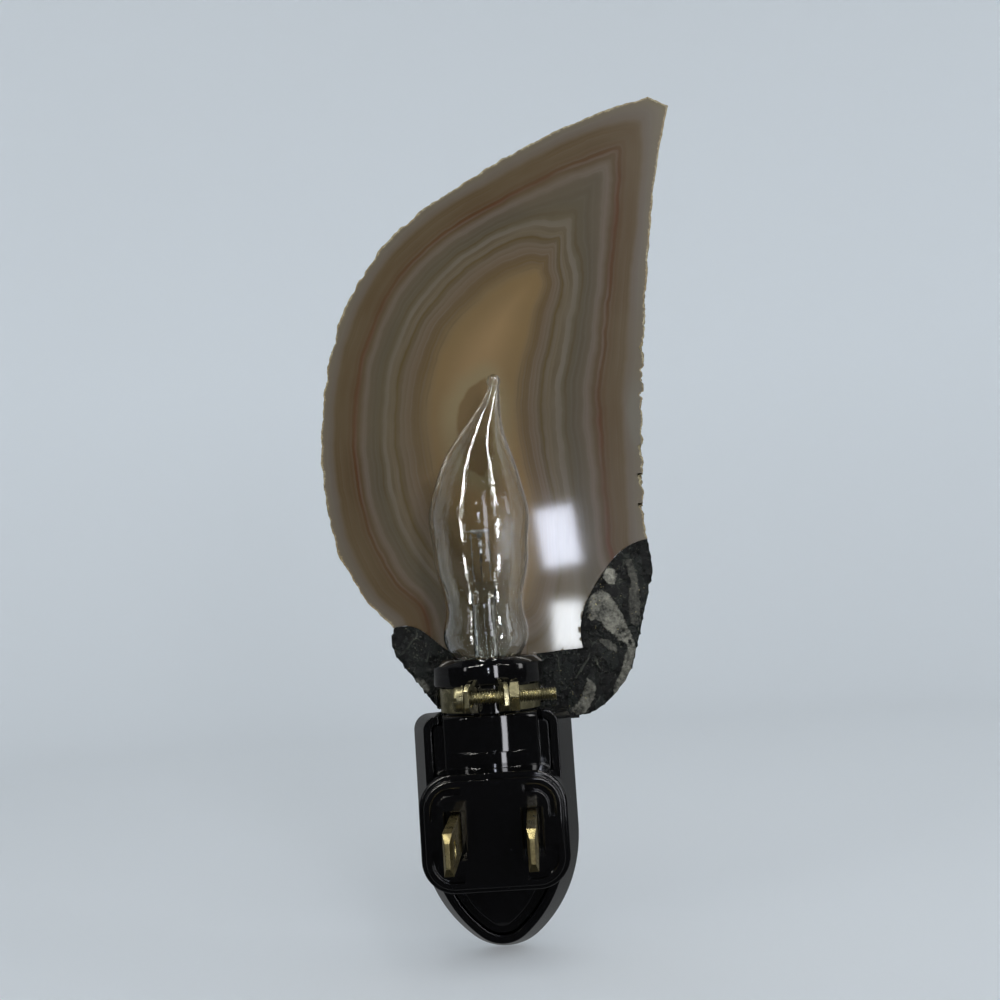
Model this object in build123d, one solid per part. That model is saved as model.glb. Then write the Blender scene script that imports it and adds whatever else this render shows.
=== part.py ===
from build123d import *
import os
from math import acos, cos, degrees, radians, sin, tan

os.makedirs("parts", exist_ok=True)

# A plug-in night light: a black moulded housing with a wall plug on its back and a candelabra socket
# on top, a clear flame bulb, and a slice of banded stone that a brass clamp holds to the socket's neck.
# Frame: +Z along the bulb, +Y into the wall, origin between the blades on the plug's face.

# ---- Driving dimensions, millimetres ----------------------------------------------------------------

# Plug blades
BLADE_PITCH = 12.7
BLADE_THICK = 1.5
BLADE_WIDTH = 6.35
BLADE_LENGTH = 17.5
BLADE_CORNER = 1.3
BLADE_EDGE = 0.4
BLADE_HOLE_R = 1.6
BLADE_HOLE_FROM_FACE = 11.7

# Plug block on the back of the housing
BLOCK_WIDTH = 24.6
BLOCK_HEIGHT = 19.2
BLOCK_CORNER = 5.5
BLOCK_EDGE = 0.5
PAD_STEP = 0.9
PAD_HEIGHT = 1.3
PAD_EDGE = 0.35
POCKET_WIDTH = 3.4
POCKET_HEIGHT = 7.7
POCKET_DEPTH = 3.0
GROOVE_WIDTH = 1.1
GROOVE_DEPTH = 0.8
GROOVE_LAND = 1.1
GROOVE_REACH_X = 5.2
GROOVE_REACH_Z = 2.4

# Back plate and column of the rear moulding
PLATE_DEPTH = 11.6
PLATE_THICK = 2.0
WING = 1.8
COLUMN_WIDTH = 17.5
COLUMN_RISE = 4.2
COLUMN_CROWN = 3.0
COLUMN_BEVEL = 0.75
COLUMN_LIP = 0.9
LEDGE_Z = 12.2
LEDGE_STEP = 0.25
KEEL_DROP = 3.4

# Shield-shaped front cover
HOUSING_WIDTH = 23.4
SHOULDER_Z = 18.6
BEND_Z = -2.5
SIDE_RADIUS = 21.1
FOOT_RADIUS = 6.0
TOP_CORNER = 2.4
FRONT_CORNER = 3.2
COVER_WALL = 1.4
COVER_FLARE = 4.3
COVER_EDGE = 2.2
CROWN_RADIUS = 24.0
RIM_PROUD = 0.6
SEAM_GAP = 0.25
POST_RADIUS = 1.6
POST_PLACES = [(7.2, -8.0), (9.8, 11.6)]

# Socket: barrel, neck and flange on the bulb's axis
AXIS_DEPTH = 16.8
NECK_R = 8.0
BARREL_GAP = 0.2
BARREL_FLOOR = 2.0
NECK_LENGTH = 4.9
RING_R = 9.85
RING_HEIGHT = 3.4
RING_BEVEL = 1.2
MOUTH_R = 7.25
FIT_GAP = 0.05

# Screw shell and bulb cap
CAP_R = 5.75
THREAD_GAP = 0.25
SHELL_WALL = 0.4
SHELL_HEIGHT = 15.6
SHELL_SETBACK = 2.0
TAB_WIDTH = 3.0
TAB_OVERLAP = 3.2
DISC_THICK = 0.8
CONTACT_THICK = 0.5
CONTACT_WIDTH = 3.0
CONTACT_RISE = 1.2
RIVET_R = 0.5
RIVET_HEAD_R = 0.8
RIVET_HEAD = 0.4
RIVET_INSET = 3.7

# Bulb
CAP_SETBACK = 1.3
CAP_HEIGHT = 14.2
CAP_WALL = 0.3
INSULATOR_HEIGHT = 1.7
INSULATOR_R = 4.1
BUTTON_R = 2.4
BUTTON_HEIGHT = 0.9
GLASS_WALL = 0.6
GLASS_SEAT = 3.9
STEM_R = 2.3
STEM_HEIGHT = 14.6
PRESS_HEIGHT = 4.2
PRESS_THICK = 1.7
FLARE_R = 4.4
LEAD_R = 0.2
LEAD_SPREAD = 1.5
FILAMENT_LIFT = 9.0
FILAMENT_RADIUS = 1.7
FILAMENT_WIRE_R = 0.16

# Glass envelope: height above the neck's foot, shift of the centre towards the bend, radius
GLASS_SECTIONS = [
    (0.0, 0.0, 5.1), (2.2, 0.0, 5.05), (4.0, 0.0, 5.1), (5.2, 0.0, 5.85), (6.4, 0.0, 6.95),
    (7.8, 0.0, 7.7), (9.4, 0.0, 7.9),
    (11.2, 0.0, 7.4), (13.7, 0.0, 6.75), (17.6, 0.0, 7.35), (23.0, 0.0, 8.6), (28.4, 0.0, 9.0),
    (34.0, 0.15, 8.55), (40.2, 0.5, 6.8), (46.1, 1.6, 3.9), (49.8, 3.0, 2.3), (52.6, 4.0, 1.35),
    (54.3, 4.35, 1.05),
]
TIP_BALL_R = 1.3

# Thumb switch in the cover
BUTTON_WIDTH = 7.5
BUTTON_TALL = 6.0
BUTTON_PROUD = 1.9
BUTTON_GAP = 0.3
BUTTON_RIBS = 4
RIB_DEPTH = 0.4
SWITCH_Z = -6.0
SWITCH_TRAVEL = 3.5
NECK_BAR_WIDTH = 3.0
NECK_BAR_TALL = 4.0
SLOT_GAP = 0.3
CARRIAGE_WIDTH = 8.0
CARRIAGE_TALL = 7.6
CARRIAGE_THICK = 2.6
BRIDGE_WIDTH = 9.0
BRIDGE_TALL = 2.2
BRIDGE_THICK = 0.5
STRIP_THICK = 0.7
STRIP_GAP = 0.1
PAD_INSET = 1.2

# Brass clamp
BAND_HEIGHT = 4.2
BAND_THICK = 0.8
BAND_GAP_ANGLE = 15.0
EAR_SPLAY = 12.0
EAR_LENGTH = 5.9
EAR_WIDTH = 4.9
EAR_LIFT = 0.6
SCREW_OUT = 3.1
SCREW_R = 1.09
SCREW_LENGTH = 16.0
SCREW_HEAD_R = 2.05
SCREW_HEAD_HEIGHT = 1.6
SCREW_SLOT = 0.55
SCREW_SLOT_DEPTH = 0.8
EAR_HOLE_GAP = 0.35
WASHER_R = 2.3
WASHER_THICK = 0.3
NUT_ACROSS = 4.76
NUT_THICK = 1.6
NUT_CHAMFER = 0.35
NUT_GAP = 0.03
NUT_SEAT = 0.05
GLUE_THICK = 1.4
GLUE_WRAP = 0.9
GLUE_INSET = 0.25
GLUE_WIDTH = 17.0

# Stone slice: its outlines run in hundredths of its width and height, from its lowest left corner
SLICE_THICK = 5.5
STONE_WIDTH = 72.1
STONE_HEIGHT = 119.9
STONE_SIDE_REACH = 42.1
STONE_DROP = 4.05
AGATE_CURVED_SIDE = [
    (5.55, 100.0), (31.5, 95.4), (53.4, 89.25), (73.25, 82.0), (88.05, 72.3),
    (96.95, 59.3), (100.0, 45.95), (97.65, 30.35), (89.75, 20.25), (83.1, 16.25),
]
AGATE_STRAIGHT_SIDE = [(0.0, 98.35), (5.25, 86.0), (8.6, 73.5), (11.25, 60.15), (13.2, 47.6), (15.1, 27.6)]
SEAM_LEFT = [(83.1, 16.25), (77.25, 16.1), (69.2, 12.25), (55.6, 10.6), (34.0, 11.25)]
SEAM_RIGHT = [(34.0, 11.25), (33.15, 17.2), (28.15, 22.25), (22.35, 25.95), (15.1, 27.6)]
RIND_EDGE = [
    (15.1, 27.6), (14.0, 23.0), (16.8, 17.2), (19.7, 10.5), (24.0, 5.1), (32.75, 1.1),
    (47.3, 0.0), (63.95, 0.6), (72.8, 3.4), (78.65, 7.9), (83.9, 13.1), (83.1, 16.25),
]

# ---- Places worked out from the dimensions ----------------------------------------------------------

AXIS_Y = -AXIS_DEPTH
PLATE_BACK_Y = -PLATE_DEPTH
PLATE_FRONT_Y = PLATE_BACK_Y - PLATE_THICK
RIM_Y = PLATE_BACK_Y + RIM_PROUD
FRONT_Y = AXIS_Y - NECK_R - BARREL_GAP - COVER_WALL
COLUMN_Y = PLATE_BACK_Y + COLUMN_RISE
CUT_LENGTH = 4 * HOUSING_WIDTH

RING_Z = SHOULDER_Z + NECK_LENGTH
SOCKET_TOP = RING_Z + RING_HEIGHT + RING_BEVEL
SHELL_R = CAP_R + THREAD_GAP
BORE_R = SHELL_R + SHELL_WALL + FIT_GAP
SHELL_TOP = SOCKET_TOP - SHELL_SETBACK
SHELL_FOOT = SHELL_TOP - SHELL_HEIGHT
CAP_TOP = SOCKET_TOP - CAP_SETBACK
CAP_FOOT = CAP_TOP - CAP_HEIGHT
BUTTON_Z = CAP_FOOT - INSULATOR_HEIGHT - BUTTON_HEIGHT
CONTACT_TOP = BUTTON_Z - STRIP_GAP
DISC_TOP = CONTACT_TOP - CONTACT_RISE
BORE_FLOOR = DISC_TOP - DISC_THICK
BARREL_FOOT = BORE_FLOOR - BARREL_FLOOR
RIVET_Y = AXIS_Y + SHELL_R - RIVET_INSET
TAB_FOOT = BLADE_WIDTH / 2 - TAB_OVERLAP
TAB_RIVET_Z = TAB_FOOT + TAB_OVERLAP / 2
GLASS_FOOT = CAP_TOP - GLASS_SEAT

TIP_BALL_RISE = GLASS_SECTIONS[-1][0] + TIP_BALL_R * 3 / 4

BAND_Z = SHOULDER_Z + (NECK_LENGTH - BAND_HEIGHT) / 2
BAND_R = NECK_R + FIT_GAP
BAND_OUT_R = BAND_R + BAND_THICK
SCREW_Z = BAND_Z + BAND_HEIGHT / 2 + EAR_LIFT
SCREW_Y = AXIS_Y + BAND_OUT_R + SCREW_OUT
SLICE_Y = AXIS_Y - BAND_OUT_R - GLUE_THICK
STONE_FOOT_Z = BAND_Z - STONE_DROP

LEG_FRONT_Y = FRONT_Y + COVER_WALL + BUTTON_GAP + CARRIAGE_THICK + BRIDGE_THICK + STRIP_GAP
PAD_LOW_Z = SWITCH_Z + BRIDGE_TALL / 2 + PAD_INSET


# ---- Helpers ----------------------------------------------------------------------------------------

def prism(sketch, y_room, y_wall):
    """The sketch, drawn as (X, Z), as a solid from y_room to y_wall."""
    return extrude(Plane.XZ.offset(-y_wall) * sketch, amount=y_wall - y_room)


def pillar(sketch, z_low, z_high):
    """The sketch, drawn as (X, Y), as a solid from z_low to z_high."""
    return extrude(Plane.XY.offset(z_low) * sketch, amount=z_high - z_low)


def plate_x(points, x_low, x_high):
    """A polygon of (Y, Z) points as a solid from x_low to x_high."""
    return extrude(Plane.YZ.offset(x_low) * make_face(Polyline(*points, close=True)), amount=x_high - x_low)


def block(x_low, x_high, y_low, y_high, z_low, z_high):
    """A box by its limits."""
    box = Box(x_high - x_low, y_high - y_low, z_high - z_low, align=(Align.MIN, Align.MIN, Align.MIN))
    return Pos(x_low, y_low, z_low) * box


def turned(points):
    """A closed outline of (radius, Z) points turned about the bulb's axis."""
    outline = Plane.XZ.offset(-AXIS_Y) * make_face(Polyline(*points, close=True))
    return revolve(outline, Axis((0, AXIS_Y, 0), (0, 0, 1)))


def rod_x(radius, x_low, x_high, y, z):
    """A round bar along X."""
    return Pos((x_low + x_high) / 2, y, z) * Rot(0, 90, 0) * Cylinder(radius, x_high - x_low)


def rod_y(radius, y_low, y_high, x, z):
    """A round bar along Y."""
    return Pos(x, (y_low + y_high) / 2, z) * Rot(90, 0, 0) * Cylinder(radius, y_high - y_low)


def rod_z(radius, z_low, z_high, x=0.0, y=AXIS_Y):
    """A round bar along Z."""
    return Pos(x, y, (z_low + z_high) / 2) * Cylinder(radius, z_high - z_low)


def rod(start, end, radius):
    """A round bar between two points."""
    path = Edge.make_line(start, end)
    return extrude(Plane(origin=start, z_dir=path % 0) * Circle(radius), amount=path.length)


def save(name, *solids):
    """Writes one node: one solid, or a group of separate ones."""
    shape = solids[0] if len(solids) == 1 else Compound(children=list(solids))
    export_step(shape, f"parts/{name}.step")


# ---- Housing ----------------------------------------------------------------------------------------

def shield(grow, top, corner=TOP_CORNER):
    """The housing's outline seen from the wall, grown outward: straight sides, then two arcs to a foot."""
    half = HOUSING_WIDTH / 2 + grow
    radius = SIDE_RADIUS + grow
    centre_x = HOUSING_WIDTH / 2 - SIDE_RADIUS
    sweep = degrees(acos(-centre_x / radius))
    arc = CenterArc((centre_x, BEND_Z), radius, 0, -sweep)
    sides = Polyline(arc @ 0, (half, top), (0, top), arc @ 1)
    right = make_face([arc, *sides.edges()])
    outline = right + mirror(right, about=Plane.YZ)
    foot = outline.vertices().sort_by(Axis.Y)[0]
    outline = fillet(foot, FOOT_RADIUS + grow)
    return fillet(outline.vertices().group_by(Axis.Y)[-1], corner + grow) if corner else outline


def cover_form(inset):
    """The cover's outer form drawn inward: it flares towards the room and its front is crowned."""
    top = SHOULDER_Z - inset
    rim = Plane.XZ.offset(-RIM_Y) * shield(-inset, top)
    front = Plane.XZ.offset(-FRONT_Y) * shield(COVER_FLARE - inset, top, FRONT_CORNER - COVER_FLARE)
    form = loft([rim, front], ruled=True)
    radius = CROWN_RADIUS - inset
    crown = Pos(0, FRONT_Y + CROWN_RADIUS, 0) * Cylinder(radius, CUT_LENGTH)
    form = form & crown


    def runs_across(edge):
        start, end = edge @ 0, edge @ 1
        return max(abs(start.Z - end.Z), abs(start.X - end.X)) > 1 and edge.center().Y < RIM_Y - COVER_EDGE

    return form, form.edges().filter_by(runs_across)


def column_form():
    """The half-round column down the back, bevelled at both edges and lipped at its top."""
    half = COLUMN_WIDTH / 2
    edge_y = COLUMN_Y - COLUMN_CROWN
    back = ThreePointArc((half - COLUMN_BEVEL, edge_y), (0, COLUMN_Y), (COLUMN_BEVEL - half, edge_y))
    wall = Polyline(
        back @ 1, (-half, edge_y - COLUMN_BEVEL), (-half, PLATE_FRONT_Y), (half, PLATE_FRONT_Y),
        (half, edge_y - COLUMN_BEVEL), back @ 0,
    )
    section = make_face([back, *wall.edges()])
    inset = COVER_WALL + SEAM_GAP + WING
    foot_z = BEND_Z - SIDE_RADIUS
    column = pillar(section, foot_z, SHOULDER_Z)
    top_edges = column.edges().group_by(Axis.Z)[-1].filter_by(lambda e: e.center().Y > edge_y - COLUMN_BEVEL / 2)
    column = fillet(top_edges, COLUMN_LIP)
    column = column & prism(shield(-inset, SHOULDER_Z + BLOCK_HEIGHT, 0), PLATE_FRONT_Y, 0)
    keel_top = -BLOCK_HEIGHT / 2
    slope = [(COLUMN_Y, keel_top), (0, keel_top), (0, foot_z), (COLUMN_Y - KEEL_DROP, foot_z)]
    crown_radius = (half**2 + COLUMN_CROWN**2) / (2 * COLUMN_CROWN)
    step = block(-half, half, edge_y, 0, LEDGE_Z, SHOULDER_Z)
    step -= Pos(0, COLUMN_Y - LEDGE_STEP - crown_radius, 0) * Cylinder(crown_radius, CUT_LENGTH)
    return column - plate_x(slope, -half, half) - step


def plug_block():
    """The plug's block: a stepped rounded slab with four corner grooves."""
    outer = RectangleRounded(BLOCK_WIDTH, BLOCK_HEIGHT, BLOCK_CORNER)
    inset = COVER_WALL + SEAM_GAP
    body = prism(outer, RIM_Y + SEAM_GAP, -PAD_HEIGHT)
    body = fillet(body.edges().group_by(Axis.Y)[-1], BLOCK_EDGE)
    body += prism(outer & shield(-inset, SHOULDER_Z - inset), PLATE_FRONT_Y, RIM_Y + SEAM_GAP)
    pad_width = BLOCK_WIDTH - 2 * PAD_STEP
    pad_height = BLOCK_HEIGHT - 2 * PAD_STEP
    pad = prism(RectangleRounded(pad_width, pad_height, BLOCK_CORNER - PAD_STEP), -PAD_HEIGHT - BLOCK_EDGE, 0)
    pad = fillet(pad.edges().group_by(Axis.Y)[-1], PAD_EDGE)

    def ring(inset):
        corner = BLOCK_CORNER - PAD_STEP - inset
        return RectangleRounded(pad_width - 2 * inset, pad_height - 2 * inset, corner)

    groove = ring(GROOVE_LAND) - ring(GROOVE_LAND + GROOVE_WIDTH)
    groove -= Rectangle(2 * GROOVE_REACH_X, BLOCK_HEIGHT)
    groove -= Rectangle(BLOCK_WIDTH, 2 * GROOVE_REACH_Z)
    return body + pad - prism(groove, -GROOVE_DEPTH, 0)


def blade_slots():
    """The pockets round the blades in the plug's face, and the tight slots behind them."""
    pocket = prism(Rectangle(POCKET_WIDTH, POCKET_HEIGHT), -POCKET_DEPTH, 0)
    slit = prism(Rectangle(BLADE_THICK + 2 * FIT_GAP, BLADE_WIDTH + 2 * FIT_GAP), PLATE_FRONT_Y, 0)
    slot = pocket + slit
    return Pos(-BLADE_PITCH / 2, 0, 0) * slot + Pos(BLADE_PITCH / 2, 0, 0) * slot


def socket():
    """The socket's barrel and neck, bored for the screw shell."""
    return turned([
        (0, BARREL_FOOT), (NECK_R, BARREL_FOOT), (NECK_R, SOCKET_TOP), (MOUTH_R, SOCKET_TOP),
        (BORE_R, SHELL_TOP), (BORE_R, BORE_FLOOR), (0, BORE_FLOOR),
    ])


def socket_ring():
    """The flange on the neck, bevelled at its top and chipped at its foot."""
    inner = NECK_R + FIT_GAP
    ring_top = RING_Z + RING_HEIGHT
    chip = RING_BEVEL / 4
    return turned([
        (inner, RING_Z), (RING_R - chip, RING_Z), (RING_R, RING_Z + chip), (RING_R, ring_top),
        (RING_R - RING_BEVEL, SOCKET_TOP), (inner, SOCKET_TOP),
    ])


def tab_slot():
    """The slot in the barrel's floor for the screw shell's tab."""
    reach = BORE_R - SHELL_WALL - 2 * FIT_GAP
    half = TAB_WIDTH / 2 + FIT_GAP
    return block(-BORE_R, -reach, AXIS_Y - half, AXIS_Y + half, BARREL_FOOT, BORE_FLOOR)


def leg_slot():
    """The slot in the barrel's floor for the centre contact's leg."""
    low = LEG_FRONT_Y - FIT_GAP
    high = LEG_FRONT_Y + CONTACT_THICK + FIT_GAP
    half = CONTACT_WIDTH / 2 + FIT_GAP
    return block(-half, half, low, high, BARREL_FOOT, DISC_TOP)


def main_body():
    """The rear moulding: plate, column, plug block and socket in one piece."""
    inset = COVER_WALL + SEAM_GAP
    plate = prism(shield(-inset, SHOULDER_Z - inset), PLATE_FRONT_Y, PLATE_BACK_Y)
    solid = plate + column_form() + socket() + plug_block()
    bore = rod_z(BORE_R, BORE_FLOOR, SHELL_TOP)
    mouth = turned([(0, SHELL_TOP), (BORE_R, SHELL_TOP), (MOUTH_R, SOCKET_TOP), (0, SOCKET_TOP)])
    return solid - blade_slots() - bore - mouth - tab_slot() - leg_slot() - tongue_rivet_hole()


def tongue_rivet_hole():
    """The hole through floor, disc and centre contact."""
    return rod_z(RIVET_R + FIT_GAP, BARREL_FOOT, CONTACT_TOP, 0, RIVET_Y)


def tab_rivet_hole():
    """The hole through the shell's tab and the neutral blade's arm."""
    return rod_x(RIVET_R + FIT_GAP, -NECK_R, STRIP_THICK - SHELL_R, AXIS_Y, TAB_RIVET_Z)


def front_cover():
    """The room-side shell, notched for the column and neck, slotted for the switch, with four posts."""
    outer, outer_edges = cover_form(0)
    inner, inner_edges = cover_form(COVER_WALL)
    shell = fillet(outer_edges, COVER_EDGE) - fillet(inner_edges, COVER_EDGE - COVER_WALL / 2)
    half = COLUMN_WIDTH / 2 + SEAM_GAP
    notch_y = AXIS_Y
    shell -= block(-half, half, notch_y, 0, SHOULDER_Z - 2 * COVER_WALL, SHOULDER_Z + COVER_WALL)
    shell -= rod_z(NECK_R + SEAM_GAP, SHOULDER_Z - 2 * COVER_WALL, SHOULDER_Z + COVER_WALL)
    slot_low = SWITCH_Z - NECK_BAR_TALL / 2 - SLOT_GAP
    slot_high = SWITCH_Z + NECK_BAR_TALL / 2 + SWITCH_TRAVEL + SLOT_GAP
    slot_half = NECK_BAR_WIDTH / 2 + SLOT_GAP
    shell -= block(-slot_half, slot_half, FRONT_Y - COVER_WALL, LEG_FRONT_Y, slot_low, slot_high)
    within, _ = cover_form(COVER_WALL / 2)
    for x, z in POST_PLACES:
        for side in (-1, 1):
            shell += rod_y(POST_RADIUS, FRONT_Y, PLATE_FRONT_Y, side * x, z) & within
    return shell


# ---- Plug blades and contacts -----------------------------------------------------------------------

def blade(side):
    """A plug blade with chamfered tip and hole, and its flange on the plate's front face."""
    x = side * BLADE_PITCH / 2
    half_t = BLADE_THICK / 2
    half_w = BLADE_WIDTH / 2
    profile = [
        (PLATE_FRONT_Y, -half_w), (BLADE_LENGTH - BLADE_CORNER, -half_w),
        (BLADE_LENGTH, BLADE_CORNER - half_w), (BLADE_LENGTH, half_w - BLADE_CORNER),
        (BLADE_LENGTH - BLADE_CORNER, half_w), (PLATE_FRONT_Y, half_w),
    ]
    plan = make_face(Polyline(
        (x - half_t, PLATE_FRONT_Y), (x + half_t, PLATE_FRONT_Y), (x + half_t, BLADE_LENGTH - BLADE_CORNER),
        (x + half_t - BLADE_EDGE, BLADE_LENGTH), (x - half_t + BLADE_EDGE, BLADE_LENGTH),
        (x - half_t, BLADE_LENGTH - BLADE_CORNER), close=True))
    body = plate_x(profile, x - half_t, x + half_t) & pillar(plan, -half_w, half_w)
    return body - rod_x(BLADE_HOLE_R, x - half_t, x + half_t, BLADE_HOLE_FROM_FACE, 0)


def blade_left():
    """The live blade: its strip turns forward to a pad beside the switch's bridge."""
    x = BLADE_PITCH / 2
    half_w = BLADE_WIDTH / 2
    outer = x + BLADE_THICK / 2
    flange_y = PLATE_FRONT_Y - STRIP_THICK
    pad_in = CONTACT_WIDTH / 2 + 2 * PAD_INSET
    pad_y = LEG_FRONT_Y + CONTACT_THICK
    strip_low = PAD_LOW_Z
    strip_high = half_w + STRIP_THICK
    flange = block(pad_in, outer, flange_y, PLATE_FRONT_Y, -half_w, half_w)
    arm = block(outer - STRIP_THICK, outer, LEG_FRONT_Y, PLATE_FRONT_Y, -half_w, half_w)
    pad = block(pad_in - PAD_INSET, outer, LEG_FRONT_Y, pad_y, strip_low, half_w)
    return blade(1) + flange + arm + pad


def blade_right():
    """The neutral blade: its strip turns forward and up to the screw shell's tab."""
    x = -BLADE_PITCH / 2
    half_w = BLADE_WIDTH / 2
    tab_x = -(SHELL_R + SHELL_WALL)
    outer = tab_x - STRIP_THICK
    flange = block(outer, x + BLADE_THICK / 2, PLATE_FRONT_Y - STRIP_THICK, PLATE_FRONT_Y, -half_w, half_w)
    arm = block(outer, tab_x, AXIS_Y - TAB_WIDTH / 2, PLATE_FRONT_Y, -half_w, half_w)
    return blade(-1) + flange + arm - tab_rivet_hole()


def screw_shell():
    """The socket's screw shell, drawn as a plain tube, with its tab down through the floor."""
    outer = SHELL_R + SHELL_WALL
    tube = rod_z(outer, SHELL_FOOT, SHELL_TOP) - rod_z(SHELL_R, SHELL_FOOT, SHELL_TOP)
    half = TAB_WIDTH / 2
    tab = block(-outer, -SHELL_R, AXIS_Y - half, AXIS_Y + half, TAB_FOOT, SHELL_FOOT + half)
    tab = tab & rod_z(outer, TAB_FOOT, SHELL_TOP) - rod_z(SHELL_R, SHELL_FOOT, SHELL_TOP)
    return tube + tab - tab_rivet_hole()


def socket_disc():
    """The fibre disc on the bore's floor, cut for the tab, the leg and the rivet."""
    disc = rod_z(BORE_R - FIT_GAP, BORE_FLOOR, DISC_TOP)
    reach = SHELL_R - 2 * FIT_GAP
    half = TAB_WIDTH / 2 + FIT_GAP
    disc -= block(-BORE_R, -reach, AXIS_Y - half, AXIS_Y + half, BORE_FLOOR, DISC_TOP)
    return disc - leg_slot() - tongue_rivet_hole()


def centre_contact():
    """The tongue under the bulb: riveted at one end, raised at the axis, with a leg to the switch."""
    half = CONTACT_WIDTH / 2
    back = RIVET_Y + half
    leg_low = PAD_LOW_Z
    outline = [
        (back, DISC_TOP), (back, DISC_TOP + CONTACT_THICK),
        (AXIS_Y + half, DISC_TOP + CONTACT_THICK), (AXIS_Y + half / 2, CONTACT_TOP),
        (AXIS_Y - half / 2, CONTACT_TOP), (AXIS_Y - half, DISC_TOP + CONTACT_THICK),
        (LEG_FRONT_Y, DISC_TOP + CONTACT_THICK), (LEG_FRONT_Y, leg_low),
        (LEG_FRONT_Y + CONTACT_THICK, leg_low), (LEG_FRONT_Y + CONTACT_THICK, DISC_TOP),
        (AXIS_Y - half + CONTACT_THICK / 2, DISC_TOP), (AXIS_Y - half / 2, CONTACT_TOP - CONTACT_THICK),
        (AXIS_Y + half / 2, CONTACT_TOP - CONTACT_THICK), (AXIS_Y + half - CONTACT_THICK / 2, DISC_TOP),
    ]
    strip = plate_x(outline, -half, half)
    return strip - tongue_rivet_hole()


def contact_rivets():
    """The rivet of the centre contact, and the rivet of the shell's tab."""
    top = DISC_TOP + CONTACT_THICK
    upright = rod_z(RIVET_R, BARREL_FOOT, top, 0, RIVET_Y)
    upright += rod_z(RIVET_HEAD_R, top, top + RIVET_HEAD, 0, RIVET_Y)
    upright += rod_z(RIVET_HEAD_R, BARREL_FOOT - RIVET_HEAD, BARREL_FOOT, 0, RIVET_Y)
    inner = -SHELL_R
    outer = inner - SHELL_WALL - STRIP_THICK
    level = rod_x(RIVET_R, outer, inner, AXIS_Y, TAB_RIVET_Z)
    level += rod_x(RIVET_HEAD_R, outer - RIVET_HEAD, outer, AXIS_Y, TAB_RIVET_Z)
    level += rod_x(RIVET_HEAD_R, inner, inner + RIVET_HEAD, AXIS_Y, TAB_RIVET_Z)
    return [upright, level]


# ---- Thumb switch -----------------------------------------------------------------------------------

def switch_slider():
    """The slide: ribbed thumb button, bar through the cover's slot, and carriage behind the cover."""
    crown_y = FRONT_Y + CROWN_RADIUS
    button_low = SWITCH_Z - BUTTON_TALL / 2
    button_high = SWITCH_Z + BUTTON_TALL / 2
    half = BUTTON_WIDTH / 2
    button = block(-half, half, FRONT_Y - BUTTON_PROUD, FRONT_Y + BUTTON_PROUD, button_low, button_high)
    button -= Pos(0, crown_y, 0) * Cylinder(CROWN_RADIUS + BUTTON_GAP, CUT_LENGTH)
    pitch = BUTTON_TALL / BUTTON_RIBS
    for index in range(BUTTON_RIBS):
        rib_z = button_low + pitch * (index + 0.5)
        button -= block(-half, half, FRONT_Y - BUTTON_PROUD, FRONT_Y - BUTTON_PROUD + RIB_DEPTH,
                        rib_z - pitch / 4, rib_z + pitch / 4)
    bar_half = NECK_BAR_WIDTH / 2
    bar_back = FRONT_Y + COVER_WALL + BUTTON_GAP + CARRIAGE_THICK
    bar = block(-bar_half, bar_half, FRONT_Y - BUTTON_PROUD / 2, bar_back,
                SWITCH_Z - NECK_BAR_TALL / 2, SWITCH_Z + NECK_BAR_TALL / 2)
    carriage = block(-CARRIAGE_WIDTH / 2, CARRIAGE_WIDTH / 2, FRONT_Y, bar_back,
                     SWITCH_Z - CARRIAGE_TALL / 2, SWITCH_Z + CARRIAGE_TALL / 2)
    carriage &= Pos(0, crown_y, 0) * Cylinder(CROWN_RADIUS - COVER_WALL - BUTTON_GAP, CUT_LENGTH)
    return button + bar + carriage


def switch_bridge():
    """The brass strip on the carriage that joins the two pads when the slide is up."""
    high = LEG_FRONT_Y - STRIP_GAP
    half = BRIDGE_WIDTH / 2
    return block(-half, half, high - BRIDGE_THICK, high, SWITCH_Z - BRIDGE_TALL / 2, SWITCH_Z + BRIDGE_TALL / 2)


# ---- Bulb -------------------------------------------------------------------------------------------

def envelope(sections):
    """A glass form through round sections whose centres shift towards the bend."""
    rings = [Pos(-shift, AXIS_Y, GLASS_FOOT + rise) * Circle(radius) for rise, shift, radius in sections]
    return loft(rings)


def bulb_glass():
    hollow = [(rise, shift, radius - GLASS_WALL) for rise, shift, radius in GLASS_SECTIONS[:-2]]
    hollow.insert(0, (-GLASS_WALL, 0.0, hollow[0][2]))
    tip_shift = GLASS_SECTIONS[-1][1]
    ball = Pos(-tip_shift, AXIS_Y, GLASS_FOOT + TIP_BALL_RISE) * Sphere(TIP_BALL_R)
    return envelope(GLASS_SECTIONS) + ball - envelope(hollow)


STEM_FOOT = GLASS_FOOT
PRESS_FOOT = STEM_FOOT + STEM_HEIGHT
PRESS_TOP = PRESS_FOOT + PRESS_HEIGHT
FILAMENT_Z = PRESS_TOP + FILAMENT_LIFT


def bulb_stem():
    """The glass stem: a flared tube that is pinched flat at its top."""
    flare = turned([
        (STEM_R - GLASS_WALL, STEM_FOOT), (FLARE_R, STEM_FOOT), (FLARE_R, STEM_FOOT + GLASS_WALL),
        (STEM_R + GLASS_WALL, STEM_FOOT + 3 * GLASS_WALL), (STEM_R, STEM_FOOT + 6 * GLASS_WALL),
        (STEM_R, PRESS_FOOT), (STEM_R - GLASS_WALL, PRESS_FOOT),
    ])
    low = Pos(0, AXIS_Y, PRESS_FOOT) * Circle(STEM_R)
    high = Pos(0, AXIS_Y, PRESS_TOP) * RectangleRounded(2 * STEM_R, PRESS_THICK, PRESS_THICK / 3)
    press = loft([low, high])
    return flare + press


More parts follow.
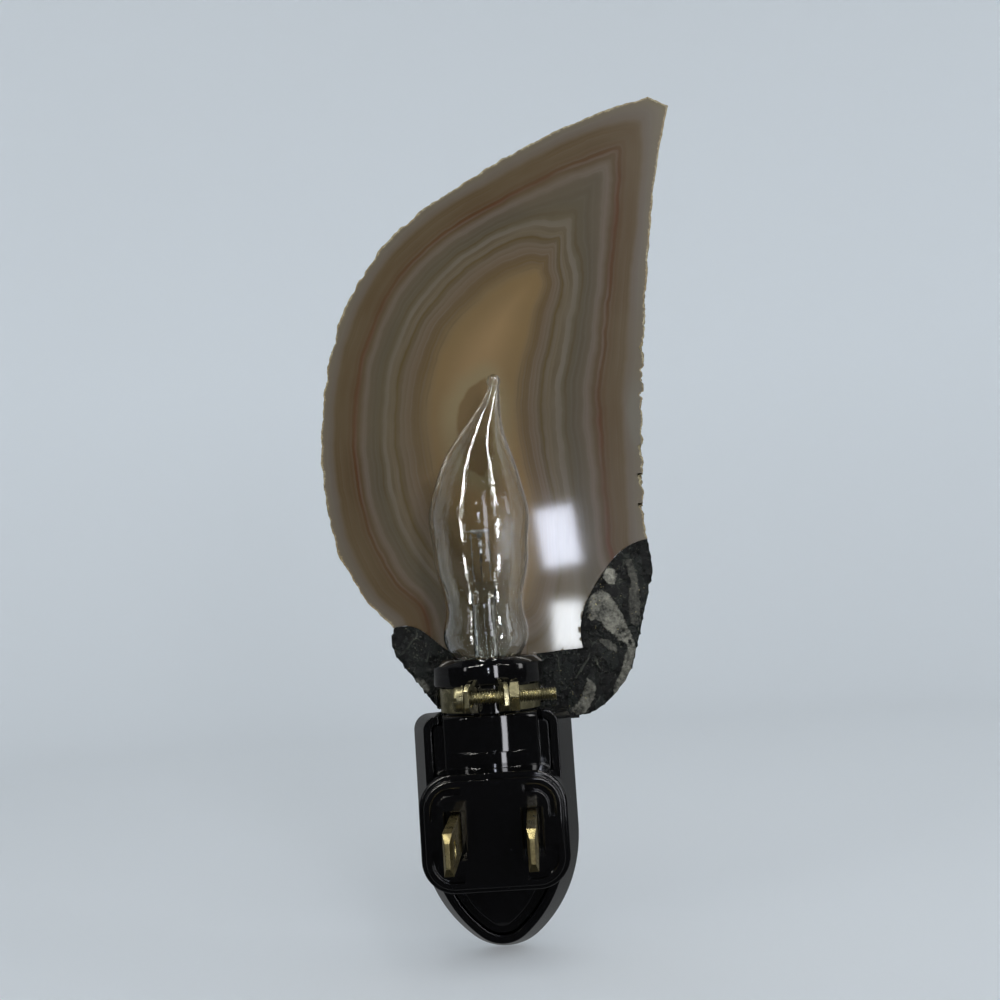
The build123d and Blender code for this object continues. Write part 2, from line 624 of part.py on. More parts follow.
def lead_wires():
    """Two lead-in wires that spread from the press to the filament's ends."""
    wires = []
    for side in (-1, 1):
        start = (side * LEAD_SPREAD, AXIS_Y, PRESS_TOP)
        end = (side * FILAMENT_RADIUS, AXIS_Y, FILAMENT_Z - FILAMENT_WIRE_R)
        wires.append(rod(start, end, LEAD_R))
    return wires


def support_wires():
    """The support's stalk on the press, with arms that reach to the filament from below."""
    crown = FILAMENT_Z - 4 * FILAMENT_WIRE_R
    stalk = rod_z(LEAD_R, PRESS_TOP, crown)
    bead = Pos(0, AXIS_Y, crown) * Sphere(3 * LEAD_R)
    arms = stalk + bead
    for angle in (30, 90, 150, 210, 270, 330):
        reach = FILAMENT_RADIUS - FILAMENT_WIRE_R - FIT_GAP
        end = (reach * cos(radians(angle)), AXIS_Y + reach * sin(radians(angle)), FILAMENT_Z)
        arms += rod((0, AXIS_Y, crown), end, LEAD_R / 2)
    return arms


def filament():
    """The coil, drawn as its envelope: a ring that is open at one lead."""
    ring = Pos(0, AXIS_Y, FILAMENT_Z + FILAMENT_WIRE_R) * Torus(FILAMENT_RADIUS, FILAMENT_WIRE_R)
    return ring


def bulb_cap():
    """The screw cap, drawn as a plain tube with a turned-in foot."""
    rim = CAP_WALL
    return turned([
        (CAP_R - CAP_WALL, CAP_TOP), (CAP_R, CAP_TOP), (CAP_R, CAP_FOOT + rim), (CAP_R - rim, CAP_FOOT),
        (INSULATOR_R, CAP_FOOT), (INSULATOR_R, CAP_FOOT + CAP_WALL), (CAP_R - CAP_WALL, CAP_FOOT + 2 * CAP_WALL),
    ])


def cap_insulator():
    """The black glass ring between cap and contact."""
    return turned([
        (0, CAP_FOOT - INSULATOR_HEIGHT), (BUTTON_R, CAP_FOOT - INSULATOR_HEIGHT), (INSULATOR_R, CAP_FOOT),
        (INSULATOR_R, CAP_FOOT + CAP_WALL), (0, CAP_FOOT + CAP_WALL),
    ])


def bulb_contact():
    """The solder button."""
    foot = BUTTON_Z
    return turned([
        (0, foot), (BUTTON_R / 2, foot), (BUTTON_R * 0.85, foot + BUTTON_HEIGHT / 2),
        (BUTTON_R, foot + BUTTON_HEIGHT), (0, foot + BUTTON_HEIGHT),
    ])


# ---- Clamp and stone --------------------------------------------------------------------------------

EAR_ROOT_R = BAND_R + BAND_THICK / 2
EAR_ROOT_X = EAR_ROOT_R * sin(radians(BAND_GAP_ANGLE))
EAR_ROOT_Y = AXIS_Y + EAR_ROOT_R * cos(radians(BAND_GAP_ANGLE))


def ear_face_x(y):
    """How far the ear's outer face stands from the middle plane at depth y."""
    slope = tan(radians(EAR_SPLAY))
    return EAR_ROOT_X + (y - EAR_ROOT_Y) * slope + BAND_THICK / 2 / cos(radians(EAR_SPLAY))


WASHER_X = ear_face_x(SCREW_Y + WASHER_R) + NUT_SEAT
NUT_X = ear_face_x(SCREW_Y + NUT_ACROSS / 2) + NUT_SEAT
HEAD_X = WASHER_X + WASHER_THICK


def ear(side):
    """A turned-out end of the band with a rounded tip and a hole for the screw."""
    lean = radians(EAR_SPLAY)
    out = Vector(side * sin(lean), cos(lean), 0)
    across = Vector(side * cos(lean), -sin(lean), 0)
    root = Vector(side * EAR_ROOT_X, EAR_ROOT_Y, 0)
    screw_u = (SCREW_Y - EAR_ROOT_Y) / cos(lean)
    tip_r = EAR_WIDTH / 2
    mid_z = BAND_Z + BAND_HEIGHT / 2
    outline = make_face(Polyline(
        (0, BAND_Z), (screw_u, SCREW_Z - tip_r), (screw_u, SCREW_Z + tip_r), (0, BAND_Z + BAND_HEIGHT),
        close=True))
    outline = outline + Pos(screw_u, SCREW_Z) * Circle(tip_r)
    outline &= Pos(EAR_LENGTH / 2, mid_z) * Rectangle(EAR_LENGTH, 2 * EAR_WIDTH)
    outline -= Pos(screw_u, SCREW_Z) * Circle(SCREW_R + EAR_HOLE_GAP)
    plane = Plane(origin=root - across * (BAND_THICK / 2), x_dir=out, z_dir=across)
    if plane.y_dir.Z < 0:
        plane = Plane(origin=root + across * (BAND_THICK / 2), x_dir=out, z_dir=across * -1)
    return extrude(plane * outline, amount=BAND_THICK)


def clamp_band():
    """The band round the neck, open at the back between its two ears."""
    ring = rod_z(BAND_OUT_R, BAND_Z, BAND_Z + BAND_HEIGHT) - rod_z(BAND_R, BAND_Z, BAND_Z + BAND_HEIGHT)
    reach = 2 * BAND_OUT_R
    spread = reach * tan(radians(BAND_GAP_ANGLE))
    wedge = make_face(Polyline((0, AXIS_Y), (spread, AXIS_Y + reach), (-spread, AXIS_Y + reach), close=True))
    band = ring - pillar(wedge, BAND_Z, BAND_Z + BAND_HEIGHT)
    ears = ear(1) + ear(-1) - rod_z(BAND_R, BAND_Z, BAND_Z + BAND_HEIGHT)
    return band + ears


def clamp_nut():
    """The hexagon nut, its corners turned off at both faces."""
    corner = NUT_ACROSS / 2 / cos(radians(30))
    hexagon = RegularPolygon(NUT_ACROSS / 2, 6, major_radius=False) - Circle(SCREW_R + NUT_GAP)
    nut = extrude(Plane.YZ.offset(-NUT_X - NUT_THICK) * hexagon, amount=NUT_THICK)
    blank = rod_x(corner, -NUT_X - NUT_THICK, -NUT_X, 0, 0)
    blank = chamfer(blank.edges().filter_by(GeomType.CIRCLE), NUT_CHAMFER / 2, NUT_CHAMFER)
    return Pos(0, SCREW_Y, SCREW_Z) * (nut & blank)


def clamp_washer():
    return (rod_x(WASHER_R, WASHER_X, HEAD_X, SCREW_Y, SCREW_Z)
            - rod_x(SCREW_R + NUT_GAP, WASHER_X, HEAD_X, SCREW_Y, SCREW_Z))


def clamp_screw():
    """The slotted screw: a plain shank and a domed head."""
    end = HEAD_X - SCREW_LENGTH
    shank = rod_x(SCREW_R, end, HEAD_X, SCREW_Y, SCREW_Z)
    shank = chamfer(shank.edges().group_by(Axis.X)[0], SCREW_R / 3)
    head = rod_x(SCREW_HEAD_R, HEAD_X, HEAD_X + SCREW_HEAD_HEIGHT, SCREW_Y, SCREW_Z)
    head = fillet(head.edges().group_by(Axis.X)[-1], SCREW_HEAD_HEIGHT / 2)
    slot = block(HEAD_X + SCREW_HEAD_HEIGHT - SCREW_SLOT_DEPTH, HEAD_X + SCREW_HEAD_HEIGHT,
                 SCREW_Y - SCREW_HEAD_R, SCREW_Y + SCREW_HEAD_R,
                 SCREW_Z - SCREW_SLOT / 2, SCREW_Z + SCREW_SLOT / 2)
    return shank + head - slot


def adhesive_bead():
    """Clear adhesive: a saddle round the front of the band with a foot on the stone."""
    low = BAND_Z + GLUE_INSET
    high = BAND_Z + BAND_HEIGHT - GLUE_INSET
    saddle = rod_z(BAND_OUT_R + GLUE_WRAP, low, high)
    saddle &= block(-RING_R, RING_R, SLICE_Y, AXIS_Y, low, high)
    foot = block(-GLUE_WIDTH / 2, GLUE_WIDTH / 2, SLICE_Y, AXIS_Y, low, high)
    return saddle + foot - rod_z(BAND_OUT_R, low, high)


def stone_points(outline):
    """The outline's hundredths as (X, Z) places."""
    return [
        (STONE_WIDTH * across / 100 - STONE_SIDE_REACH, STONE_FOOT_Z + STONE_HEIGHT * up / 100)
        for across, up in outline
    ]


def stone(edges):
    """A slice of stone between two sawn faces."""
    return prism(make_face(edges), SLICE_Y - SLICE_THICK, SLICE_Y)


def agate_slice():
    """The banded part: a curved side, a straight side and a blunt point."""
    curved, straight = stone_points(AGATE_CURVED_SIDE), stone_points(AGATE_STRAIGHT_SIDE)
    seam_left, seam_right = stone_points(SEAM_LEFT), stone_points(SEAM_RIGHT)
    return stone([
        Line(curved[0], straight[0]), Spline(*straight), Spline(*reversed(seam_right)),
        Spline(*reversed(seam_left)), Spline(*reversed(curved)),
    ])


def rock_rind():
    """The dark host rock below the bands, cut to the same two faces."""
    return stone([Spline(*stone_points(edge)) for edge in (SEAM_LEFT, SEAM_RIGHT, RIND_EDGE)])


# ---- Nodes ------------------------------------------------------------------------------------------

if __name__ == "__main__":
    for maker in (
        main_body, socket_ring, front_cover, screw_shell, socket_disc, centre_contact, blade_left, blade_right,
        switch_slider, switch_bridge, bulb_glass, bulb_stem, support_wires, filament, bulb_cap,
        cap_insulator, bulb_contact, clamp_band, clamp_nut, clamp_washer, clamp_screw, adhesive_bead,
        agate_slice, rock_rind,
    ):
        save(maker.__name__, maker())
    for group in (contact_rivets, lead_wires):
        save(group.__name__, *group())
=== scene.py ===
# %% [markdown]
# # A plug-in night light with a slice of stone for its shade
#
# The light is about as long as a hand: a glossy black moulding with two plug blades on its back, a flame
# bulb in a small screw socket, and a slice of banded agate that a brass clamp holds to the socket's neck.
# The CAD parts give every size and place. This lesson dresses them: stone, brass, glass and moulding
# finishes, and new pieces where a plain solid can't show what the real piece shows, such as a thread, a
# filament's coil or a chipped edge.

# %% Load the CAD parts
import math

import bmesh
import bpy
from mathutils import Matrix, Vector, bvhtree, kdtree, noise


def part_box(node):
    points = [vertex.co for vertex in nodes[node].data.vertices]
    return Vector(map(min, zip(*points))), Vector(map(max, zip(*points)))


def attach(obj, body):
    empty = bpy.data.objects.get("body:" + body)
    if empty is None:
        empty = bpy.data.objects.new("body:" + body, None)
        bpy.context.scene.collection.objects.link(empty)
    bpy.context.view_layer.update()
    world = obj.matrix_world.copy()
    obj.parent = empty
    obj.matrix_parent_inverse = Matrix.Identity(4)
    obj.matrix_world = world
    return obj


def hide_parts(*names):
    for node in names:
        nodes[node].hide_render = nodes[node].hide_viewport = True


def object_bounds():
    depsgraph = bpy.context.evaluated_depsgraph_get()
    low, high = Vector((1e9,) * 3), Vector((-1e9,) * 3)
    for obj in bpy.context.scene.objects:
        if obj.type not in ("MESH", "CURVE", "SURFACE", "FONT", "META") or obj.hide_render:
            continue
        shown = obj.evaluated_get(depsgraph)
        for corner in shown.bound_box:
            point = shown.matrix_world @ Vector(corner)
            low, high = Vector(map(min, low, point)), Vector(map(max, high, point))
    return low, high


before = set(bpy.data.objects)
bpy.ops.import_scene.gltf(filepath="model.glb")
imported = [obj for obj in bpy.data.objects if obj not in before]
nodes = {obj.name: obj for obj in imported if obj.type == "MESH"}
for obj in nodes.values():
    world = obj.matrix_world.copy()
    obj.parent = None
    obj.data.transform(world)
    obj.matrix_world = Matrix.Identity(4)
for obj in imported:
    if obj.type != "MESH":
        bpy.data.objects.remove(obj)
cad_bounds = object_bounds()
MM = 0.001
X_AXIS, Y_AXIS, Z_AXIS = Vector((1, 0, 0)), Vector((0, 1, 0)), Vector((0, 0, 1))
print("CAD parts:", len(nodes), "box:", [round(value / MM, 1) for corner in cad_bounds for value in corner])

# %% [markdown]
# ## Shader maths as plain Python
#
# A finish is a small network of nodes. Wiring it by hand hides the idea, so one class wraps a node's
# output and lets it be added, multiplied and compared like a number. Colours and vectors have methods of
# their own, because a maths node would turn a colour grey.

# %% A level: one output of a node, used like a number


class Level:
    """A value that changes over a surface. Sums and products of it add maths nodes."""

    def __init__(self, finish, socket):
        self.finish, self.socket = finish, socket

    def maths(self, operation, *operands):
        return self.finish.level("Math", {"operation": operation}, dict(enumerate(operands)))

    def __add__(self, other):
        return self.maths("ADD", self, other)

    def __sub__(self, other):
        return self.maths("SUBTRACT", self, other)

    def __rsub__(self, other):
        return self.maths("SUBTRACT", other, self)

    def __mul__(self, other):
        return self.maths("MULTIPLY", self, other)

    __radd__, __rmul__ = __add__, __mul__

    def or_more(self, other):
        return self.maths("MAXIMUM", self, other)

    def or_less(self, other):
        return self.maths("MINIMUM", self, other)

    def step(self, low, high):
        """0 below low, 1 above high, smooth between. With low above high it falls instead."""
        if low > high:
            return 1 - self.step(high, low)
        settings = {"interpolation_type": "SMOOTHSTEP"}
        return self.finish.level("MapRange", settings, {"Value": self, "From Min": low, "From Max": high})


# %% A finish: a material and its nodes


def paint(red, green, blue):
    """A colour from the 0 to 255 numbers of a paint chart, as the linear light a shader wants."""
    def linear(part):
        part = part / 255
        return part / 12.92 if part <= 0.04045 else ((part + 0.055) / 1.055) ** 2.4

    return (linear(red), linear(green), linear(blue), 1)


class Finish:
    """A material that is built node by node."""

    def __init__(self, name):
        self.material = bpy.data.materials.new(name)
        self.material.use_nodes = True
        self.tree = self.material.node_tree
        self.tree.nodes.clear()

    def add(self, kind, settings=None, sockets=None):
        """Adds a node: its settings first, then the values or links of its sockets."""
        node = self.tree.nodes.new("ShaderNode" + kind)
        for name, setting in (settings or {}).items():
            if name == "stops":
                self.place_stops(node.color_ramp, setting)
            else:
                setattr(node, name, setting)
        for name, value in (sockets or {}).items():
            if isinstance(value, Level):
                self.tree.links.new(node.inputs[name], value.socket)
            else:
                node.inputs[name].default_value = value
        return node

    def level(self, kind, settings=None, sockets=None, output=0):
        return Level(self, self.add(kind, settings, sockets).outputs[output])

    @staticmethod
    def place_stops(ramp, stops):
        while len(ramp.elements) < len(stops):
            ramp.elements.new(0.5)
        for element, (place, colour) in zip(ramp.elements, stops):
            element.position = place
            element.color = colour

    def point(self, stretch=(1, 1, 1), shift=(0, 0, 0)):
        """Where on the object a spot lies, in metres, stretched and shifted."""
        spot = self.level("TexCoord", output=3)
        return self.level("Mapping", {}, {"Vector": spot, "Scale": stretch, "Location": shift})

    def noise(self, size, detail=3.0, roughness=0.5, stretch=(1, 1, 1), shift=(0, 0, 0), skew=0.0):
        """Cloudy noise whose blobs are about size millimetres wide."""
        where = self.point(stretch, shift)
        sockets = {"Vector": where, "Scale": 1 / (size * MM), "Detail": detail, "Roughness": roughness}
        return self.level("TexNoise", {}, {**sockets, "Distortion": skew})

    def cells(self, size, feature="F1", vector=None, output=0):
        """Distance to the nearest of many scattered points, about size millimetres apart. Output 1 is a colour."""
        sockets = {"Vector": vector or self.point(), "Scale": 1 / (size * MM)}
        return self.level("TexVoronoi", {"feature": feature}, sockets, output)

    def painted(self, name):
        """A number that was stored on the mesh, vertex by vertex."""
        return self.level("Attribute", {"attribute_name": name}, output=2)

    def ramp(self, level, stops):
        return self.level("ValToRGB", {"stops": stops}, {"Fac": level})

    def blend(self, mask, first, second):
        """The first colour where the mask is 0, and the second where it is 1."""
        sockets = {0: mask, 6: first, 7: second}
        return self.level("Mix", {"data_type": "RGBA"}, sockets, output=2)

    def bump(self, height, distance, normal=None):
        """Small relief. The height is 0 to 1 and distance, in millimetres, is what 1 stands for."""
        sockets = {"Height": height, "Distance": distance * MM}
        if normal:
            sockets["Normal"] = normal
        return self.level("Bump", {}, sockets)

    def soft_edges(self, radius):
        """A normal that rounds sharp edges over radius millimetres, as moulding and tumbling do."""
        return self.level("Bevel", {"samples": 6}, {"Radius": radius * MM})

    def coat(self, **sockets):
        """The finished surface: a Principled shader with these sockets, joined to the output."""
        named = {name.replace("_", " "): value for name, value in sockets.items()}
        shader = self.level("BsdfPrincipled", {}, named)
        self.add("OutputMaterial", {}, {"Surface": shader})
        return self.material


print("Shader helpers are ready")

# %% [markdown]
# ## Black moulding
#
# The housing is a hard, heat-proof moulded resin with a deep shine. A plain black gloss looks like a hole
# in the picture, so the finish has what the eye reads as gloss: slightly wavy highlights, softened edges,
# faint handling smears that spread the shine, and a few specks of dust.

# %% Make the moulding's finish


def moulding_finish():
    finish = Finish("black_moulding")
    smear = finish.noise(9.0, 4.0, 0.6, (1, 1, 0.6)).step(0.50, 0.80)
    fine = finish.noise(0.5, 2.0, 0.6)
    dust = finish.cells(1.7).step(0.080, 0.03) * finish.noise(6.0, 2.0, 0.5, shift=(0.3, 0, 0)).step(0.52, 0.62)
    waves = finish.noise(8.0, 1.0, 0.4)
    colour = finish.blend(dust * 0.5, (0.0026, 0.0025, 0.0028, 1), (0.07, 0.07, 0.065, 1))
    rough = smear * 0.07 + fine * 0.03 + dust * 0.35 + 0.05
    normal = finish.bump(waves + fine * 0.01, 0.05, finish.soft_edges(0.30))
    return finish.coat(Base_Color=colour, Roughness=rough, Normal=normal, IOR=1.56)


moulding = moulding_finish()


def dress(finish, *names):
    """Gives CAD parts a finish."""
    for name in names:
        mesh = nodes[name].data
        mesh.materials.clear()
        mesh.materials.append(finish)


dress(moulding, "main_body", "socket_ring", "front_cover", "switch_slider")
print("Moulding dressed")

# %% [markdown]
# ## Brass
#
# Three kinds of brass meet here: stamped blades that wear bright on their flats, turned clamp hardware
# that has gone dull and a little olive, and the thin bright brass of the screw cap. One function makes all
# three from how bright, how tarnished and how scratched each is.

# %% Make the brasses


def brass_finish(name, clean, dull, tarnish, rough, grain, edge=0.12):
    """Brass with cloudy tarnish and fine scratches that run along the stretch of grain."""
    finish = Finish(name)
    cloud = finish.noise(2.6, 4.0, 0.6)
    spots = finish.noise(0.7, 3.0, 0.7, shift=(0.1, 0.2, 0)).step(0.58, 0.72)
    mask = (cloud.step(0.62 - tarnish * 0.4, 0.85 - tarnish * 0.4) + spots * tarnish * 0.6).or_less(1)
    scratches = finish.noise(0.16, 2.0, 0.6, grain)
    colour = finish.blend(mask, clean, dull)
    roughness = mask * 0.22 + scratches * 0.16 + rough
    normal = finish.bump(scratches + cloud * 0.6, 0.02, finish.soft_edges(edge))
    return finish.coat(Base_Color=colour, Metallic=1.0, Roughness=roughness, Normal=normal)


ALONG_Y, ALONG_X, ALL_WAYS = (1, 0.08, 1), (0.08, 1, 1), (1, 1, 1)
blade_brass = brass_finish("blade_brass", (0.60, 0.51, 0.25, 1), (0.27, 0.22, 0.11, 1), 0.45, 0.20, ALONG_Y, 0.2)
clamp_brass = brass_finish("clamp_brass", (0.56, 0.51, 0.31, 1), (0.23, 0.215, 0.13, 1), 0.62, 0.17, ALONG_X)
cap_brass = brass_finish("cap_brass", (0.78, 0.63, 0.33, 1), (0.50, 0.38, 0.18, 1), 0.25, 0.14, ALL_WAYS, 0.05)
dress(blade_brass, "blade_left", "blade_right")
dress(clamp_brass, "clamp_band", "clamp_nut", "clamp_washer", "clamp_screw")
dress(cap_brass, "screw_shell", "centre_contact", "contact_rivets", "switch_bridge", "bulb_cap")
print("Brass dressed")

# %% [markdown]
# ## Glass, wires and the bulb's small parts
#
# A blown envelope is never quite smooth: the flame shape is drawn out by hand or in a mould, and long
# shallow ripples run up both skins, the inner one most, and break each highlight into streaks. The ripples
# are stretched noise in the normal. The lead wires are plated, the filament is dull tungsten, the ring
# under the cap is black glass and the tip of the cap is solder.

# %% Make glass, wire, tungsten, solder and fibre


def glass_finish(name, tint, ripple, everywhere):
    """Glass whose ripples are deepest on the inner skin, or as deep everywhere."""
    finish = Finish(name)
    skin = finish.painted("inner").or_more(everywhere)
    folds = finish.noise(0.9, 1.0, 0.5, (1, 1, 0.5), skew=0.3)
    slow = finish.noise(6.0, 1.0, 0.4, (1, 1, 0.4))
    fine = finish.noise(0.42, 1.0, 0.5, (1, 1, 0.7))
    normal = finish.bump(folds * (skin * 0.7 + 0.3) + fine * 0.35 + slow * 0.4, ripple)
    return finish.coat(Base_Color=tint, Roughness=0.0, IOR=1.46, Transmission_Weight=1.0, Normal=normal)


def wire_finish(name, colour, rough, size):
    finish = Finish(name)
    grain = finish.noise(size, 3.0, 0.6)
    shade = finish.blend(grain.step(0.4, 0.75), colour, tuple(part * 0.6 for part in colour[:3]) + (1,))
    return finish.coat(Base_Color=shade, Metallic=1.0, Roughness=grain * 0.25 + rough)


def fibre_finish():
    finish = Finish("pressed_fibre")
    fleck = finish.noise(0.35, 4.0, 0.7, (1, 1, 3))
    shade = finish.blend(fleck.step(0.4, 0.65), paint(128, 92, 62), paint(92, 62, 40))
    return finish.coat(Base_Color=shade, Roughness=0.85, Normal=finish.bump(fleck, 0.05))


def vitrite_finish():
    finish = Finish("black_glass")
    swirl = finish.noise(1.2, 3.0, 0.6)
    shade = finish.blend(swirl.step(0.4, 0.8), (0.008, 0.008, 0.010, 1), (0.030, 0.030, 0.036, 1))
    return finish.coat(Base_Color=shade, Roughness=swirl * 0.1 + 0.05, Normal=finish.bump(swirl, 0.05))


envelope_glass = glass_finish("envelope_glass", (0.975, 0.985, 0.970, 1), 0.045, 0.0)
stem_glass = glass_finish("stem_glass", (0.96, 0.98, 0.965, 1), 0.035, 1.0)
dress(stem_glass, "bulb_stem")
wire = wire_finish("plated_wire", (0.20, 0.19, 0.17, 1), 0.35, 0.3)
dress(wire, "lead_wires", "support_wires")
tungsten = wire_finish("tungsten", (0.62, 0.62, 0.63, 1), 0.16, 0.2)
dress(tungsten, "filament")
dress(wire_finish("solder", (0.66, 0.66, 0.68, 1), 0.25, 0.8), "bulb_contact")
dress(fibre_finish(), "socket_disc")
dress(vitrite_finish(), "cap_insulator")
print("Bulb dressed")

# %% [markdown]
# ## Working on copies of the CAD parts
#
# Several pieces keep the CAD outline and only gain relief. A copy of the CAD mesh is merged, its flat
# faces are joined again, and planes cut it into small squares. That leaves enough points to push about
# without losing the outline.

# %% Helpers for new pieces


def cad_copy(node):
    """A merged copy of a CAD part's mesh, with its flat faces in one piece again."""
    bm = bmesh.new()
    bm.from_mesh(nodes[node].data)
    bmesh.ops.remove_doubles(bm, verts=bm.verts[:], dist=0.001 * MM)
    bmesh.ops.dissolve_limit(bm, angle_limit=math.radians(0.5), verts=bm.verts[:], edges=bm.edges[:])
    return bm


def cut(bm, place, direction, keep_below=False):
    """Cuts everything with a plane, and drops what lies beyond it if asked."""
    everything = bm.verts[:] + bm.edges[:] + bm.faces[:]
    bmesh.ops.bisect_plane(bm, geom=everything, dist=0.0005 * MM, plane_co=place, plane_no=direction,
                           clear_outer=keep_below)


def cut_to_squares(bm, node, pitch, depth_pitch):
    """Cuts a flat piece along X, Z and Y, pitch millimetres apart."""
    low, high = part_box(node)
    for axis, step in ((0, pitch), (2, pitch), (1, depth_pitch)):
        direction = (X_AXIS, Y_AXIS, Z_AXIS)[axis]
        for index in range(1, int((high[axis] - low[axis]) / (step * MM)) + 1):
            cut(bm, low + direction * (index * step * MM), direction)


def piece(name, bm, body, finish, replaces=(), smooth_angle=30):
    """Turns a bmesh into a finished piece that rides on a body and may stand for CAD parts."""
    mesh = bpy.data.meshes.new(name)
    bm.to_mesh(mesh)
    bm.free()
    made = bpy.data.objects.new(name, mesh)
    bpy.context.scene.collection.objects.link(made)
    mesh.materials.append(finish)
    mesh.shade_smooth()
    mesh.set_sharp_from_angle(angle=math.radians(smooth_angle))
    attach(made, body)
    if replaces:
        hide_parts(*replaces)
    print(f"{name}: {len(mesh.vertices)} points, {len(mesh.polygons)} faces")
    return made


# %% [markdown]
# ## The flame envelope
#
# The CAD envelope is two skins of loose triangles, and its hollow ends in a small flat floor. Clear glass
# shows every facet, so the envelope is turned afresh: horizontal rays measure the CAD outline at many
# heights, a few rounds of averaging take the facets out of it, the spin operator turns it about the bulb's
# axis, and each ring then slides sideways to where the flame bends. The inner skin runs one wall inside
# the outer one and ends in a drawn-out tip.

# %% Measure the envelope's outline

GLASS_WALL = 0.4
RINGS = 160
LOWEST_RAY, HIGHEST_RAY = 0.002, 0.9985  # as shares of the height, so that no ray misses an end
NECK_RINGS, TIP_RINGS, SMOOTH_ROUNDS = 14, 8, 40


def skin_of(node):
    """A tree that tells where a ray meets a CAD part."""
    mesh = nodes[node].data
    return bvhtree.BVHTree.FromPolygons([vert.co for vert in mesh.vertices],
                                        [face.vertices[:] for face in mesh.polygons])


def outline_at(tree, height, centre_y):
    """The middle and radius of a round upright part at one height, by a ray from either side."""
    reach = 40 * MM
    left = tree.ray_cast(Vector((-reach, centre_y, height)), X_AXIS)[0]
    right = tree.ray_cast(Vector((reach, centre_y, height)), -X_AXIS)[0]
    return ((left.x + right.x) / 2, (right.x - left.x) / 2) if left and right else None


glass_low, glass_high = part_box("bulb_glass")
cap_low, cap_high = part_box("bulb_cap")
AXIS_Y = (cap_low.y + cap_high.y) / 2
glass_tree = skin_of("bulb_glass")
heights, middles, radii = [], [], []
for index in range(RINGS + 1):
    share = LOWEST_RAY + (HIGHEST_RAY - LOWEST_RAY) * index / RINGS
    height = glass_low.z + (glass_high.z - glass_low.z) * share
    middle, radius = outline_at(glass_tree, height, AXIS_Y)
    heights.append(height)
    middles.append(middle)
    radii.append(radius)
for _ in range(SMOOTH_ROUNDS):
    for chain in (radii, middles):
        soft = [(low + 2 * middle + high) / 4 for low, middle, high in zip(chain, chain[1:], chain[2:])]
        chain[NECK_RINGS:-TIP_RINGS] = soft[NECK_RINGS - 1:1 - TIP_RINGS]
print("Envelope rings:", len(heights), "widest:", round(max(radii) / MM, 2), "mm")

# %% Turn and bend it


def in_metres(chain):
    return [(radius * MM, height * MM) for radius, height in chain]


def turn(chain, centre, steps=72, closed=False):
    """Spins a chain of points (radius, height) about the upright axis through centre, and merges the seam."""
    bm = bmesh.new()
    verts = [bm.verts.new((centre.x + radius, centre.y, height)) for radius, height in chain]
    for first, second in zip(verts, verts[1:] + verts[:1] if closed else verts[1:]):
        bm.edges.new((first, second))
    bmesh.ops.spin(bm, geom=bm.verts[:] + bm.edges[:], cent=centre, axis=Z_AXIS, angle=2 * math.pi,
                   steps=steps, use_merge=True)
    bmesh.ops.remove_doubles(bm, verts=bm.verts[:], dist=0.002 * MM)
    bmesh.ops.recalc_face_normals(bm, faces=bm.faces[:])
    return bm


TIP_STEPS = 8
tip_index = max(index for index, radius in enumerate(radii) if radius > 1.75 * GLASS_WALL * MM)
inner_chain = [(max(radii[index] - GLASS_WALL * MM, 0.0), heights[index]) for index in range(tip_index)]
taper = inner_chain[-1][0]
for step in range(1, TIP_STEPS + 1):
    rise = heights[tip_index] + (heights[-1] - heights[tip_index]) * 0.05 * step
    inner_chain.append((taper * math.cos(math.pi / 2 * step / TIP_STEPS), rise))
outer_chain = list(zip(radii, heights)) + [(0.0, heights[-1])]
envelope = turn(inner_chain[::-1] + outer_chain, Vector((0, AXIS_Y, 0)))
inner_skin = envelope.verts.layers.float.new("inner")
for vert in envelope.verts:
    place = min(max((vert.co.z - heights[0]) / (heights[1] - heights[0]), 0.0), len(heights) - 1.001)
    index, share = int(place), place - int(place)
    around = math.hypot(vert.co.x, vert.co.y - AXIS_Y)
    outer = radii[index] * (1 - share) + radii[index + 1] * share
    vert[inner_skin] = 1.0 if around < outer - 0.3 * GLASS_WALL * MM else 0.0
    vert.co.x += middles[index] * (1 - share) + middles[index + 1] * share
flame = piece("flame_glass", envelope, "bulb", envelope_glass, ["bulb_glass"], 70)

# %% [markdown]
# ## The agate slice
#
# Agate grows in layers from the wall of a hollow towards its middle, so its bands run parallel to the
# outline and close round a core. Painting stripes by hand would never follow the outline. Here each point
# of the slice learns how far it lies between the outline and the core, a number from 0 to 1, and the
# finish turns that number into bands. The left and the right half are measured by themselves, each from
# its own rim to its own side of the core, and a point keeps the smaller number. So the bands meet in sharp
# cusps on the line from the core's point to the stone's tip, as they do where a hollow has a corner.

# %% Find the stone's outline and its core

CORE_LEFT = [  # the core's edge as (x, z) in millimetres, from its point down the left to its foot
    (-13.8, 100.7), (-9.2, 99.3), (-4.8, 97.0), (-0.4, 93.3), (2.7, 89.9), (4.8, 86.2), (6.3, 82.5), (7.4, 78.3),
    (8.0, 74.1), (7.9, 69.4), (7.3, 64.2), (5.6, 57.0), (2.4, 50.0), (-2.0, 43.0), (-7.0, 38.0),
]
CORE_RIGHT = [  # and from its point down the right
    (-13.8, 100.7), (-14.2, 98.7), (-13.4, 96.4), (-12.2, 94.1), (-10.9, 89.4), (-9.2, 84.7), (-7.9, 80.1),
    (-7.3, 75.4), (-7.3, 70.0), (-8.4, 62.0), (-9.8, 54.0), (-9.6, 44.0), (-7.0, 38.0),
]
SAMPLE = 0.25


def along(points, spacing=SAMPLE * MM, closed=True):
    """Evenly spaced spots on a chain of points."""
    spots = []
    for start, end in zip(points, points[1:] + points[:1] if closed else points[1:]):
        steps = max(1, round((end - start).length / spacing))
        spots += [start.lerp(end, step / steps) for step in range(steps)]
    return spots


